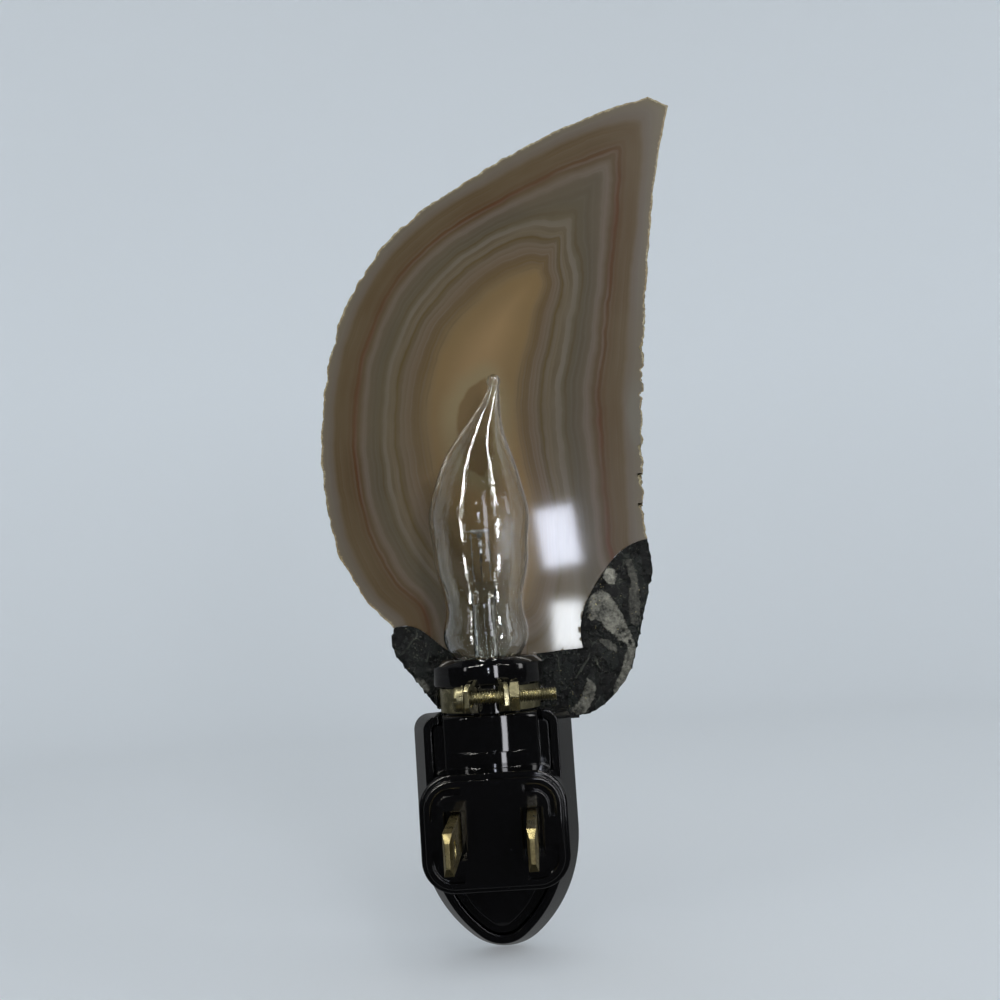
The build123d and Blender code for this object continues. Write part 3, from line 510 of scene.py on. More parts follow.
def rim_spots(bm, y):
    """Spots on the edge between a piece's flat face at depth y and its side wall, as flat points."""
    spots = []
    for edge in bm.edges:
        if all(abs(vert.co.y - y) < 0.01 * MM for vert in edge.verts) and len(edge.link_faces) == 2:
            if edge.calc_face_angle(0) > math.radians(45):
                start, end = (Vector((vert.co.x, 0, vert.co.z)) for vert in edge.verts)
                steps = max(1, round((end - start).length / (SAMPLE * MM)))
                spots += [start.lerp(end, step / steps) for step in range(steps)]
    return spots


def nearest_of(spots):
    """A search tree over spots."""
    tree = kdtree.KDTree(len(spots))
    for index, spot in enumerate(spots):
        tree.insert(spot, index)
    tree.balance()
    return tree


def inside(spot, outline):
    """True if a flat point lies inside a closed outline, by counting the sides to its left."""
    count = 0
    for start, end in zip(outline, outline[1:] + outline[:1]):
        if (start.z > spot.z) != (end.z > spot.z):
            count += spot.x < start.x + (end.x - start.x) * (spot.z - start.z) / (end.z - start.z)
    return count % 2 == 1


wall_face_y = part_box("agate_slice")[1].y
agate = cad_copy("agate_slice")
rind = cad_copy("rock_rind")
seam_tree = nearest_of(rim_spots(rind, wall_face_y))
stone_rim = [spot for spot in rim_spots(agate, wall_face_y) if seam_tree.find(spot)[2] > 0.4 * MM]
rim_tree = nearest_of(stone_rim)
agate_tree = nearest_of(rim_spots(agate, wall_face_y))
core_left, core_right = ([Vector((x, 0, z)) * MM for x, z in chain] for chain in (CORE_LEFT, CORE_RIGHT))
core_tree = nearest_of(along(core_left + core_right[-2:0:-1]))
core_point, core_foot = core_left[0], core_left[-1]
stone_tip = max(stone_rim, key=lambda spot: spot.z - spot.x)
to_tip = (stone_tip - core_point).normalized()


def on_left(spot):
    """True on the left of the line from the core's foot through its point to the stone's tip."""
    start, end = (core_foot, core_point) if spot.z < core_point.z else (core_point, stone_tip)
    return (end.x - start.x) * (spot.z - start.z) < (end.z - start.z) * (spot.x - start.x)


def side_of(core_edge, beyond, corners, rim):
    """One side of the slice: the region its core edge closes off, a tree of that edge and one of its rim."""
    edge = [core_point + Vector((beyond[0], 0, beyond[1])) * MM] + core_edge
    region = edge + [Vector((x, 0, z)) * MM for x, z in corners]
    return region, nearest_of(along(edge, closed=False)), nearest_of(rim)


left_side = side_of(core_left, (-38, 13), [(-7, -20), (-52, -20)], [spot for spot in stone_rim if on_left(spot)])
right_side = side_of(core_right, (-3, 40), [(-7, -20), (60, -20), (60, 141)],
                     [spot for spot in stone_rim if not on_left(spot)])
print("Rim spots:", len(stone_rim), "tip:", [round(value / MM, 1) for value in stone_tip])

# %% Shape the slice and store its bands

CHIP_REACH, CORE_DEPTH, GREY_TIP = 3.0, 14.0, 8.5
RIGHT_SIDE_X, NOTCH_TOP_Z, NOTCH_REACH = -29.0, 112.0, 50.0
RIGHT_BANDS = [  # how a share across the right half reads as a band, where the layers are thicker
    (0.0, 0.0), (0.16, 0.12), (0.34, 0.30), (0.47, 0.41), (0.64, 0.56), (0.78, 0.66), (1.0, 1.0),
]


def between_knots(value, knots):
    """Reads a value off a chain of (from, to) pairs."""
    for (start, low), (end, high) in zip(knots, knots[1:]):
        if value <= end:
            return low + (high - low) * (value - start) / (end - start)
    return value


HEART_EYE = [  # the darker eye of the core, as (x, z) in millimetres
    (-2.6, 80.9), (0.5, 79.0), (2.5, 76.1), (3.3, 72.4), (3.3, 68.6), (2.0, 63.8), (-1.1, 61.7),
    (-3.3, 66.3), (-3.9, 75.6),
]
eye_outline = [Vector((x, 0, z)) * MM for x, z in HEART_EYE]
eye_tree = nearest_of(along(eye_outline))


def depth_inside(spot, outline, tree):
    """How deep a flat point lies inside an outline in millimetres, below 0 outside it."""
    distance = tree.find(spot)[2] / MM
    return distance if inside(spot, outline) else -distance


def share_across(spot, side):
    """How far a spot lies from a side's rim, as a share of the way to the core's edge."""
    region, edge_tree, side_rim = side
    if inside(spot, region):
        return 1.0
    to_rim = side_rim.find(spot)[2]
    return to_rim / (to_rim + edge_tree.find(spot)[2])


def band_of(spot):
    """0 on the outline, 1 on the edge of the core, and more inside the core."""
    left, right = share_across(spot, left_side), share_across(spot, right_side)
    if left == right == 1.0:
        return 1 + min(core_tree.find(spot)[2] / (CORE_DEPTH * MM), 0.5)
    ahead = max(0.0, (spot - core_point).normalized().dot(to_tip)) ** 4
    right += (between_knots(right, RIGHT_BANDS) - right) * (1 - ahead)
    band = min(left, right)
    middle = min(max((band - 0.3) / 0.35, 0.0), 1.0) * min((1 - band) / 0.25, 1.0)
    band *= 1 - 0.2 * ahead * middle
    return band * (1 - 0.70 * math.exp(-((spot - stone_tip).length / (GREY_TIP * MM)) ** 2))


def chip_depth(spot):
    """How much the rim has crumbled at a spot, in millimetres: wavy on the left, notched on the right."""
    wave = 0.5 + 0.5 * noise.noise(spot / (2.4 * MM))
    fine = 0.5 + 0.5 * noise.noise(spot / (0.9 * MM))
    depth = 0.95 * wave + 0.35 * fine - 0.25
    if spot.x < RIGHT_SIDE_X * MM and spot.z < NOTCH_TOP_Z * MM:
        lower = min(max((NOTCH_TOP_Z * MM - spot.z) / (NOTCH_REACH * MM), 0.2), 1.0)
        notch = noise.noise(Vector((spot.z / (1.5 * MM), spot.y / (4.0 * MM), 7.0)))
        depth += 2.6 * max(0.0, notch) * lower + 0.35 * fine * lower
    return depth


def store(bm, name, values):
    """Stores one number for each vertex under a name that a finish can read."""
    layer = bm.verts.layers.float.get(name) or bm.verts.layers.float.new(name)
    for vert, value in zip(bm.verts, values):
        vert[layer] = value


cut_to_squares(agate, "agate_slice", 0.6, 1.0)
middle = Vector((-4.0, 0, 78.0)) * MM
near_rim = {vert for vert in agate.verts if rim_tree.find(Vector((vert.co.x, 0, vert.co.z)))[2] < 1.0 * MM}
bmesh.ops.subdivide_edges(agate, edges=[edge for edge in agate.edges if set(edge.verts) <= near_rim], cuts=1,
                          use_grid_fill=True)
CLOUD_X, CLOUD_Z = -31.5, 72.0  # a clear grey cloud by the right rim
bands, rims, eyes, clouds = [], [], [], []
for vert in agate.verts:
    flat = Vector((vert.co.x, 0, vert.co.z))
    to_rim = rim_tree.find(flat)[2]
    bands.append(band_of(flat))
    eyes.append(max(depth_inside(flat, eye_outline, eye_tree), -8.0))
    clouds.append(math.exp(-((flat.x / MM - CLOUD_X) / 3.0) ** 2 - ((flat.z / MM - CLOUD_Z) / 8.0) ** 2))
    rims.append(max(0.0, 1 - to_rim / (1.2 * MM)))
    fade = max(0.0, 1 - to_rim / (CHIP_REACH * MM)) ** 2
    to_seam = min(1.0, seam_tree.find(flat)[2] / (1.5 * MM))
    vert.co += (middle - flat).normalized() * chip_depth(vert.co) * MM * fade * to_seam
store(agate, "band", bands)
store(agate, "rim", rims)
store(agate, "eye", eyes)
store(agate, "clear", clouds)
print("Bands stored on", len(bands), "points")

# %% [markdown]
# ### Its finish
#
# The sawn faces are polished, so they mirror the windows. Under the shine the bands go from a pale grey
# wall through browns and one thin rusty line, then greys and olives, to a tan core. They are soft, because
# the stone is a little clear. A second, finer set of lines rides on the same number, because real bands
# come in groups. The rim keeps the rough ochre skin of the nodule, and its ivory flecks are partly pale
# crust and partly painted glints on the chips.

# %% Make the agate's finish

BANDS = [
    (0.000, (112, 100, 74)), (0.025, (108, 98, 82)), (0.070, (102, 92, 80)), (0.105, (100, 89, 76)),
    (0.135, (92, 76, 54)), (0.190, (86, 68, 43)), (0.235, (91, 75, 54)), (0.270, (84, 64, 40)),
    (0.310, (78, 55, 31)), (0.345, (86, 70, 50)), (0.385, (102, 90, 77)), (0.420, (88, 77, 61)),
    (0.480, (83, 74, 58)), (0.540, (88, 78, 59)), (0.585, (105, 95, 79)), (0.625, (99, 87, 67)),
    (0.660, (85, 69, 39)), (0.700, (99, 86, 68)), (0.765, (102, 87, 69)), (0.830, (95, 77, 52)),
    (0.885, (97, 78, 49)), (0.940, (112, 93, 64)), (1.000, (120, 97, 62)),
]


def agate_finish():
    finish = Finish("polished_agate")
    place = finish.painted("band")
    wobble = finish.noise(9.0, 3.0, 0.5) - 0.5
    ripple = finish.noise(2.2, 2.0, 0.5) - 0.5
    band = place + wobble * 0.060 + ripple * 0.014
    stops = [(spot, paint(*colour)) for spot, colour in BANDS]
    colour = finish.ramp(band, stops)
    lines = finish.level("TexNoise", {"noise_dimensions": "1D"}, {"W": band, "Scale": 24.0, "Detail": 1.5})
    strength = finish.noise(14.0, 2.0, shift=(0.03, 0, 0.01)).step(0.35, 0.65) * 0.40 + 0.12
    strength = strength * place.step(1.0, 0.9)
    colour = finish.blend(lines.step(0.50, 0.72) * strength, colour, paint(108, 99, 86))
    colour = finish.blend(lines.step(0.48, 0.28) * strength, colour, paint(78, 62, 36))
    rust = finish.noise(16.0, 3.0, 0.6, shift=(0.02, 0, 0.05)).step(0.42, 0.66)
    red_line = band.step(0.280, 0.306) * band.step(0.340, 0.312)
    colour = finish.blend(red_line * (rust * 0.5 + 0.2), colour, paint(88, 50, 28))
    heart = place.step(1.0, 1.45)
    colour = finish.blend(heart, colour, paint(140, 113, 76))
    eye = finish.painted("eye") + wobble * 2.0
    colour = finish.blend(eye.step(-5.0, -0.6) * 0.75, colour, paint(132, 118, 86))
    colour = finish.blend(eye.step(-0.5, 0.2) * 0.85, colour, paint(106, 82, 47))
    cloud = finish.noise(22.0, 2.0).step(0.35, 0.7) * 0.25
    colour = finish.blend(cloud, colour, paint(104, 92, 70))
    clear = (finish.painted("clear") + wobble * 0.8).step(0.25, 0.75)
    colour = finish.blend(clear * 0.7, colour, paint(108, 102, 90))
    rim = finish.painted("rim")
    crust = (rim + (finish.noise(0.6, 4.0, 0.7) - 0.5) * 0.9).step(0.55, 0.85)
    # Ivory flecks in the rim's skin: partly pale crust, partly painted glints on the chips.
    skin = finish.blend(finish.noise(0.9, 4.0, 0.7).step(0.36, 0.68), paint(116, 99, 60), paint(192, 178, 138))
    ochre = finish.noise(5.0, 3.0, shift=(0, 0.2, 0.1)).step(0.42, 0.62) * 0.5
    skin = finish.blend(ochre, skin, paint(146, 118, 68))
    colour = finish.blend(crust, colour, skin)
    flaws = finish.noise(0.5, 3.0, 0.65, shift=(0.4, 0, 0))
    rough = crust * 0.35 + flaws * 0.05 + 0.030
    relief = finish.noise(0.5, 4.0, 0.7) * crust
    normal = finish.bump(relief + flaws * 0.002, 0.25)
    return finish.coat(Base_Color=colour, Roughness=rough, Normal=normal, IOR=1.54, Coat_Weight=0.45,
                       Coat_Roughness=0.24)


piece("agate", agate, "clamp", agate_finish(), ["agate_slice"], 40)

# %% [markdown]
# ## The dark host rock
#
# Along the foot of the slice a strip of the rock that held the nodule is still attached: almost black
# green, broken rather than polished, with pale quartz in it. It is cut to squares like the slice, and then
# its points are pushed inwards by ridged noise, least at the seam, where the two stones meet.

# %% Shape the host rock

cut_to_squares(rind, "rock_rind", 0.7, 0.9)
rind.normal_update()
pushes = []
for vert in rind.verts:
    flat = Vector((vert.co.x, 0, vert.co.z))
    free = min(1.0, agate_tree.find(flat)[2] / (1.2 * MM))
    coarse = noise.ridged_multi_fractal(vert.co / (5.5 * MM), 1.0, 2.0, 3, 0.9, 2.0)
    fine = 0.5 + 0.5 * noise.noise(vert.co / (0.9 * MM))
    sawn = abs(vert.normal.y) > 0.9
    depth = (0.16 * coarse + 0.12 * fine) if sawn else (0.40 * coarse + 0.30 * fine)
    pushes.append(vert.normal * -min(depth, 1.1) * MM * (0.15 + 0.85 * free))
for vert, push in zip(rind.verts, pushes):
    vert.co += push

# %% [markdown]
# ### Its finish
#
# The rock is a breccia: angular dark fragments in a darker ground, ground smooth but never polished well.
# Pale quartz fills what were holes in it. Each patch has an outline, and every point of the rock stores how
# far it lies inside the nearest one, so the finish can give the patches ragged, soft or speckled edges. Small
# pale gold specks, most of them in the quartz, are partly pyrite grains and partly painted glints.

# %% Outline the quartz

QUARTZ = {  # outlines as (x, z) in millimetres, and how pale each is
    "round": (0.85, [(-25.0, 41.5), (-24.4, 39.9), (-22.9, 40.1), (-22.2, 41.6), (-23.0, 43.0), (-24.4, 42.9)]),
    "speckled": (0.62, [(-21.5, 39.2), (-23.2, 38.0), (-24.4, 36.4), (-25.4, 34.0), (-27.0, 30.0), (-26.0, 28.4),
                        (-24.0, 29.8), (-22.2, 31.6), (-20.6, 34.0), (-19.0, 33.2), (-18.8, 35.0), (-19.6, 38.0)]),
    "lens": (0.34, [(-20.4, 30.1), (-22.6, 29.6), (-24.1, 28.5), (-23.8, 27.1), (-22.4, 27.7), (-21.0, 29.2)]),
    "foot": (0.48, [(-18.0, 23.0), (-19.6, 21.0), (-19.0, 18.9), (-17.2, 16.2), (-14.8, 16.0), (-14.4, 17.2),
                    (-16.4, 19.0), (-17.4, 21.2)]),
    "outer": (0.55, [(-27.2, 29.4), (-27.6, 27.8), (-26.4, 24.2), (-24.6, 20.4), (-22.6, 18.8), (-23.0, 21.4),
                     (-24.4, 23.6), (-25.4, 26.6)]),
    "strip": (0.26, [(-26.6, 44.0), (-27.8, 44.6), (-28.9, 40.0), (-28.9, 35.0), (-28.2, 31.5), (-26.9, 32.5),
                     (-26.6, 36.5), (-27.5, 40.0)]),
    "left": (0.50, [(14.2, 24.6), (13.0, 24.9), (11.6, 22.6), (12.2, 21.8), (13.6, 23.2)]),
}


patches = []
for pale, corners in QUARTZ.values():
    outline = [Vector((x, 0, z)) * MM for x, z in corners]
    patches.append((pale, outline, nearest_of(along(outline))))
depths, pales = [], []
for vert in rind.verts:
    flat = Vector((vert.co.x, 0, vert.co.z))
    depth, pale = max((depth_inside(flat, outline, tree), pale) for pale, outline, tree in patches)
    depths.append(max(depth, -3.0))
    pales.append(pale)
store(rind, "quartz", depths)
store(rind, "pale", pales)
print("Quartz points:", sum(depth > 0 for depth in depths))

# %% Make the host rock's finish


def rind_finish():
    finish = Finish("host_rock")
    warp = (finish.noise(2.2, 3.0, 0.6) - 0.5) * 1.2
    cloudy = {"Vector": finish.point(), "Scale": 1 / (2.6 * MM), "Detail": 3.0}
    warped = finish.level("TexNoise", {}, cloudy, output=1)
    fragments = finish.cells(2.6, vector=finish.point((1.3, 1, 0.8)), output=1)
    shard = finish.level("SeparateColor", {}, {0: fragments})
    fine = finish.noise(0.7, 5.0, 0.7)
    body = finish.blend(shard.step(0.15, 0.95), paint(4, 5, 4), paint(24, 27, 24))
    body = finish.blend((fine + warp * 0.1).step(0.50, 0.64) * 0.45, body, paint(30, 35, 31))
    bent = finish.level("MixRGB", {"blend_type": "ADD"}, {0: 0.0012, 1: finish.point((1, 1, 0.7)), 2: warped})
    veins = finish.cells(4.2, "DISTANCE_TO_EDGE", bent).step(0.045, 0.008)
    veins = veins * finish.noise(5.0, 2.0, shift=(0.2, 0, 0.1)).step(0.50, 0.60)
    body = finish.blend(veins * 0.40, body, paint(84, 86, 76))
    flecks = finish.noise(0.45, 3.0, 0.7, shift=(0, 0.3, 0)).step(0.60, 0.66)
    flecks = flecks * finish.noise(3.0, 2.0, shift=(0.6, 0, 0)).step(0.45, 0.60)
    body = finish.blend(flecks * 0.5, body, paint(116, 116, 100))
    inward = finish.painted("quartz") + warp * 0.55 + (finish.noise(0.6, 4.0, 0.7) - 0.5) * 1.3
    quartz = inward.step(-0.10, 0.22)
    pale = finish.painted("pale")
    speckle = finish.noise(0.9, 5.0, 0.75, shift=(0, 0.2, 0)).step(0.38, 0.64)
    cloud = finish.noise(2.2, 3.0, 0.6, shift=(0.5, 0, 0)).step(0.35, 0.65)
    milky = finish.blend(pale * (speckle * 0.55 + cloud * 0.45), paint(17, 18, 15), paint(188, 184, 167))
    colour = finish.blend(quartz, body, milky)
    # Pale gold specks: partly pyrite's own colour, partly painted glints that stand in for sparkle.
    pyrite_and_painted_glints = finish.cells(0.7).step(0.20, 0.08) * finish.noise(2.4, 2.0, shift=(0.1, 0, 0)).step(0.54, 0.62)
    colour = finish.blend(pyrite_and_painted_glints * (quartz * 0.6 + 0.25), colour, paint(224, 208, 150))
    rough = 0.10 + fine * 0.30 + quartz * 0.15 - pyrite_and_painted_glints * 0.1
    ledges = finish.noise(2.6, 2.0, 0.5, shift=(0.7, 0, 0)).step(0.47, 0.53)
    relief = finish.noise(1.1, 6.0, 0.68) + shard * 0.7 + ledges * 0.5 + quartz * 0.2
    return finish.coat(Base_Color=colour, Roughness=rough, Normal=finish.bump(relief, 0.34), Specular_IOR_Level=0.22)


piece("host_rock", rind, "clamp", rind_finish(), ["rock_rind"], 35)

# %% [markdown]
# ## Threads
#
# A screw thread is one small profile turned about an axis while it moves along it. The spin operator does
# just that: each step turns the profile and shifts it by a little. Planes then trim the ragged ends. The
# same function makes the clamp screw's fine V thread and the bulb's deep round one.

# %% A threaded sleeve


def threaded(profile, turns, pitch, centre, axis, out, steps):
    """Spins a one-pitch profile of (distance from the axis, place along it), repeated for some turns."""
    bm = bmesh.new()
    chain = []
    for turn in range(-1, turns):
        for radius, place in profile:
            chain.append(bm.verts.new(centre + out * radius + axis * (place + turn * pitch)))
    for first, second in zip(chain, chain[1:]):
        bm.edges.new((first, second))
    bmesh.ops.spin(bm, geom=bm.verts[:] + bm.edges[:], cent=centre, axis=axis, dvec=axis * (pitch / steps),
                   angle=2 * math.pi, steps=steps)
    bmesh.ops.remove_doubles(bm, verts=bm.verts[:], dist=0.004 * MM)
    return bm


def close_ends(bm):
    """Fills open ends and turns every face outwards."""
    open_edges = [edge for edge in bm.edges if len(edge.link_faces) == 1]
    bmesh.ops.holes_fill(bm, edges=open_edges)
    bmesh.ops.recalc_face_normals(bm, faces=bm.faces[:])


print("Thread helpers are ready")

# %% Thread the clamp screw

SCREW_PITCH, SHANK_R, THREAD_DEPTH = 0.4536, 1.09, 0.27
screw_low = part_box("clamp_screw")[0]
washer_low, washer_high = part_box("clamp_washer")
screw_centre = Vector((0, (washer_low.y + washer_high.y) / 2, (washer_low.z + washer_high.z) / 2))
root_r = SHANK_R - THREAD_DEPTH
screw_end = Vector((screw_low.x, screw_centre.y, screw_centre.z))
neck = Vector((washer_high.x, screw_centre.y, screw_centre.z))
v_profile = [(root_r * MM, 0.0), (root_r * MM, 0.06 * MM), (SHANK_R * MM, 0.22 * MM), (SHANK_R * MM, 0.28 * MM)]
shank = threaded(v_profile, int((neck - screw_end).length / (SCREW_PITCH * MM)) + 2, SCREW_PITCH * MM,
                 screw_end, X_AXIS, Z_AXIS, 32)
cut(shank, neck, X_AXIS, keep_below=True)
cut(shank, screw_end, -X_AXIS, keep_below=True)
close_ends(shank)


def add_to(bm, other):
    """Moves what another bmesh holds into this one."""
    mesh = bpy.data.meshes.new("part")
    other.to_mesh(mesh)
    other.free()
    bm.from_mesh(mesh)
    bpy.data.meshes.remove(mesh)


head = cad_copy("clamp_screw")
cut(head, neck, -X_AXIS, keep_below=True)
close_ends(head)
add_to(head, shank)
piece("threaded_screw", head, "clamp_screw", clamp_brass, ["clamp_screw"], 25)

# %% [markdown]
# ### The bulb's cap and the shell it turns in
#
# The bulb's thread is rolled into thin brass, so its inside follows its outside. Both the cap and the
# socket's shell are plain turned tubes here, with each point then moved in by a wave that climbs one pitch
# per turn. The two waves are in step, so the cap's ridges run in the shell's grooves.

# %% Roll the threads

BULB_PITCH, FOOT_R = 2.54, 4.9  # nearer the axis than this the cap's foot stays flat


def roll_thread(bm, low, high, depth, fade=1.6):
    """Presses a right-hand round thread into a turned tube between two heights, fading at both ends."""
    for vert in bm.verts:
        level = vert.co.z / MM
        strength = min(max(min(level - low, high - level) / fade, 0.0), 1.0)
        angle = math.atan2(vert.co.y - AXIS_Y, vert.co.x)
        wave = 0.5 - 0.5 * math.cos(2 * math.pi * level / BULB_PITCH - angle)
        radius = math.hypot(vert.co.x, vert.co.y - AXIS_Y)
        if radius > FOOT_R * MM:
            scale = 1 - depth * wave * strength * MM / radius
            vert.co.x *= scale
            vert.co.y = AXIS_Y + (vert.co.y - AXIS_Y) * scale


def heights_between(low, high, pitch=0.22):
    count = round((high - low) / pitch)
    return [low + (high - low) * index / count for index in range(count + 1)]


cap_r = (cap_high.x - cap_low.x) / 2 / MM
cap_foot, cap_top = cap_low.z / MM, cap_high.z / MM
CAP_WALL = 0.3
insulator_low, insulator_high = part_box("cap_insulator")
insulator_r = (insulator_high.x - insulator_low.x) / 2 / MM
cap_chain = [(insulator_r, cap_foot), (insulator_r, cap_foot + CAP_WALL)]
cap_chain += [(cap_r - CAP_WALL, level) for level in heights_between(cap_foot + 2 * CAP_WALL, cap_top)]
cap_chain += [(cap_r, level) for level in reversed(heights_between(cap_foot + CAP_WALL, cap_top))]
cap_chain.append((cap_r - CAP_WALL, cap_foot))
axis_spot = Vector((0, AXIS_Y, 0))
rolled_cap = turn(in_metres(cap_chain), axis_spot, closed=True)
roll_thread(rolled_cap, cap_foot + 1.0, cap_top - 2.6, 0.40)
piece("threaded_cap", rolled_cap, "bulb", cap_brass, ["bulb_cap"], 40)

shell_low, shell_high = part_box("screw_shell")
shell_r, shell_top = (shell_high.x - shell_low.x) / 2 / MM, shell_high.z / MM
SHELL_WALL, SHELL_HEIGHT = 0.4, 15.6
shell_foot = shell_top - SHELL_HEIGHT
shell_chain = [(shell_r - SHELL_WALL, level) for level in heights_between(shell_foot, shell_top)]
shell_chain += [(shell_r, level) for level in reversed(heights_between(shell_foot, shell_top))]
rolled_shell = turn(in_metres(shell_chain), axis_spot, closed=True)
roll_thread(rolled_shell, shell_foot + 1.2, shell_top - 0.6, 0.36)
tab = cad_copy("screw_shell")
cut(tab, Vector((0, 0, (shell_foot + 0.05) * MM)), Z_AXIS, keep_below=True)
close_ends(tab)
add_to(rolled_shell, tab)
piece("threaded_shell", rolled_shell, "base", cap_brass, ["screw_shell"], 40)

# %% [markdown]
# ## Drawn wires
#
# The CAD wires are a little thick, so that they stay solid rods. Drawn wire in a small bulb is as fine as a
# hair. Each point of a copy moves in along its normal, which thins the wires and keeps their run.

# %% Thin the wires

for name, thin, thin_stalk in (("lead_wires", 0.13, 0.13), ("support_wires", 0.055, 0.13)):
    rods = cad_copy(name)
    rods.normal_update()
    for vert in rods.verts:
        near_axis = math.hypot(vert.co.x, vert.co.y - AXIS_Y) < 0.25 * MM
        vert.co -= vert.normal * (thin_stalk if near_axis else thin) * MM
    piece("fine_" + name, rods, "bulb", wire, [name], 60)

# %% [markdown]
# ## The socket's ring
#
# The ring round the socket's mouth is the roundest thing in the moulding, and it mirrors a window, so flat
# facets would show in it. Its outline is turned afresh with soft corners.

# %% Turn the ring

ring_low, ring_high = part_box("socket_ring")
ring_outside, ring_bore = (ring_high.x - ring_low.x) / 2 / MM, 8.05
ring_foot, ring_top = ring_low.z / MM, ring_high.z / MM
RING_BEVEL, RING_SOFT, FOOT_SOFT = 1.2, 0.08, 0.3
ring_chain = [
    (ring_bore, ring_foot),
    (ring_outside - FOOT_SOFT, ring_foot),
    (ring_outside - 0.08, ring_foot + 0.08),
    (ring_outside, ring_foot + FOOT_SOFT),
    (ring_outside, ring_top - RING_BEVEL - RING_SOFT),
    (ring_outside - 0.02, ring_top - RING_BEVEL),
    (ring_outside - 0.07, ring_top - RING_BEVEL + 0.07),
    (ring_outside - RING_BEVEL + 0.07, ring_top - 0.07),
    (ring_outside - RING_BEVEL, ring_top - 0.02),
    (ring_outside - RING_BEVEL - RING_SOFT, ring_top),
    (ring_bore, ring_top),
]
turned_ring = turn(in_metres(ring_chain), axis_spot, 96, closed=True)
piece("turned_ring", turned_ring, "base", moulding, ["socket_ring"], 50)

# %% [markdown]
# ## The filament
#
# The filament is a fine coil laid in a ring round the glass stem's supports. Its centre line is a helix
# wound about a circle, drawn as a curve with a round bevel, and it stays open at one lead.

# %% Wind the coil

COIL_TURNS, COIL_R, COIL_WIRE_R, COIL_GAP, TURN_STEPS = 64, 0.13, 0.032, 14, 8
filament_low, filament_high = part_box("filament")
filament_middle = (filament_low + filament_high) / 2
ring_r = (filament_high.x - filament_low.x) / 2 - (filament_high.z - filament_low.z) / 2
coil = bpy.data.curves.new("coil", "CURVE")
coil.dimensions = "3D"
coil.bevel_depth, coil.bevel_resolution, coil.use_fill_caps = COIL_WIRE_R * MM, 1, True
coil.resolution_u = 2
line = coil.splines.new("NURBS")
steps = COIL_TURNS * TURN_STEPS
line.points.add(steps)
for index in range(steps + 1):
    round_ring = math.radians(COIL_GAP / 2 + (360 - COIL_GAP) * index / steps)
    round_coil = 2 * math.pi * index / TURN_STEPS
    distance = ring_r + COIL_R * MM * math.cos(round_coil)
    spot = filament_middle + Vector((distance * math.cos(round_ring), distance * math.sin(round_ring),
                                     COIL_R * MM * math.sin(round_coil)))
    line.points[index].co = (*spot, 1)
line.order_u, line.use_endpoint_u = 3, True
coil_object = bpy.data.objects.new("coil", coil)
coil_bm = bmesh.new()
coil_mesh = bpy.data.meshes.new_from_object(coil_object)
coil_bm.from_mesh(coil_mesh)
bpy.data.objects.remove(coil_object)
bmesh.ops.remove_doubles(coil_bm, verts=coil_bm.verts[:], dist=0.001 * MM)
bmesh.ops.recalc_face_normals(coil_bm, faces=coil_bm.faces[:])
piece("filament_coil", coil_bm, "bulb", tungsten, ["filament"], 60)

# %% [markdown]
# ## The adhesive
#
# Clear adhesive holds the stone to the band. It flowed before it set, so its corners are soft and its
# surface sags a little between them. A copy of the plain solid is cut to squares and smoothed, which draws
# its corners in, and a few bubbles and a faint haze show inside.

# %% Soften the bead

BEAD_SQUARE, SOFTENING_ROUNDS = 0.7, 5
bead = cad_copy("adhesive_bead")
cut_to_squares(bead, "adhesive_bead", BEAD_SQUARE, BEAD_SQUARE)
for _ in range(SOFTENING_ROUNDS):
    bmesh.ops.smooth_vert(bead, verts=bead.verts[:], factor=0.5, use_axis_x=True, use_axis_y=True, use_axis_z=True)
bmesh.ops.recalc_face_normals(bead, faces=bead.faces[:])


def adhesive_finish():
    finish = Finish("clear_adhesive")
    bubbles = finish.cells(0.9).step(0.22, 0.12) * finish.noise(2.0, 2.0).step(0.5, 0.6)
    haze = finish.noise(1.6, 3.0, 0.6)
    tint = finish.blend(haze, (0.93, 0.94, 0.90, 1), (0.80, 0.82, 0.76, 1))
    rough = haze * 0.12 + bubbles * 0.2 + 0.04
    normal = finish.bump(haze + bubbles * 0.3, 0.12)
    return finish.coat(Base_Color=tint, Roughness=rough, IOR=1.46, Transmission_Weight=1.0, Normal=normal)


piece("clear_adhesive", bead, "clamp", adhesive_finish(), ["adhesive_bead"], 50)

# %% [markdown]
# ## The stage
#
# A pale floor runs up into a pale wall all round, like a studio sweep, so no horizon shows from any side.
# It glows a little of itself, which gives plain soft light without a lamp that could be seen. The sweep is
# left out of reflections: in place of its far half the shiny parts mirror a dim card, and behind the camera
# a dark room with a few windows, which is what makes black moulding look black and brass look like metal.
# Glass shows the far half only, or the bulb's inner skins would look milky.

# %% Floor and wall

FLOOR_GAP = 0.3
SWEEP_R, SWEEP_FILLET, SWEEP_HEIGHT, FILLET_STEPS, FACET_ANGLE = 0.75, 0.25, 1.3, 12, 3.75
floor_z = cad_bounds[0].z - FLOOR_GAP * MM


def glowing_paint(name, size, detail, dark, light, rough, glow, strength):
    """A matt paint in two close tones that glows a little of itself."""
    finish = Finish(name)
    tone = finish.blend(finish.noise(size, detail), dark, light)
    return finish.coat(Base_Color=tone, Roughness=rough, Emission_Color=glow, Emission_Strength=strength)


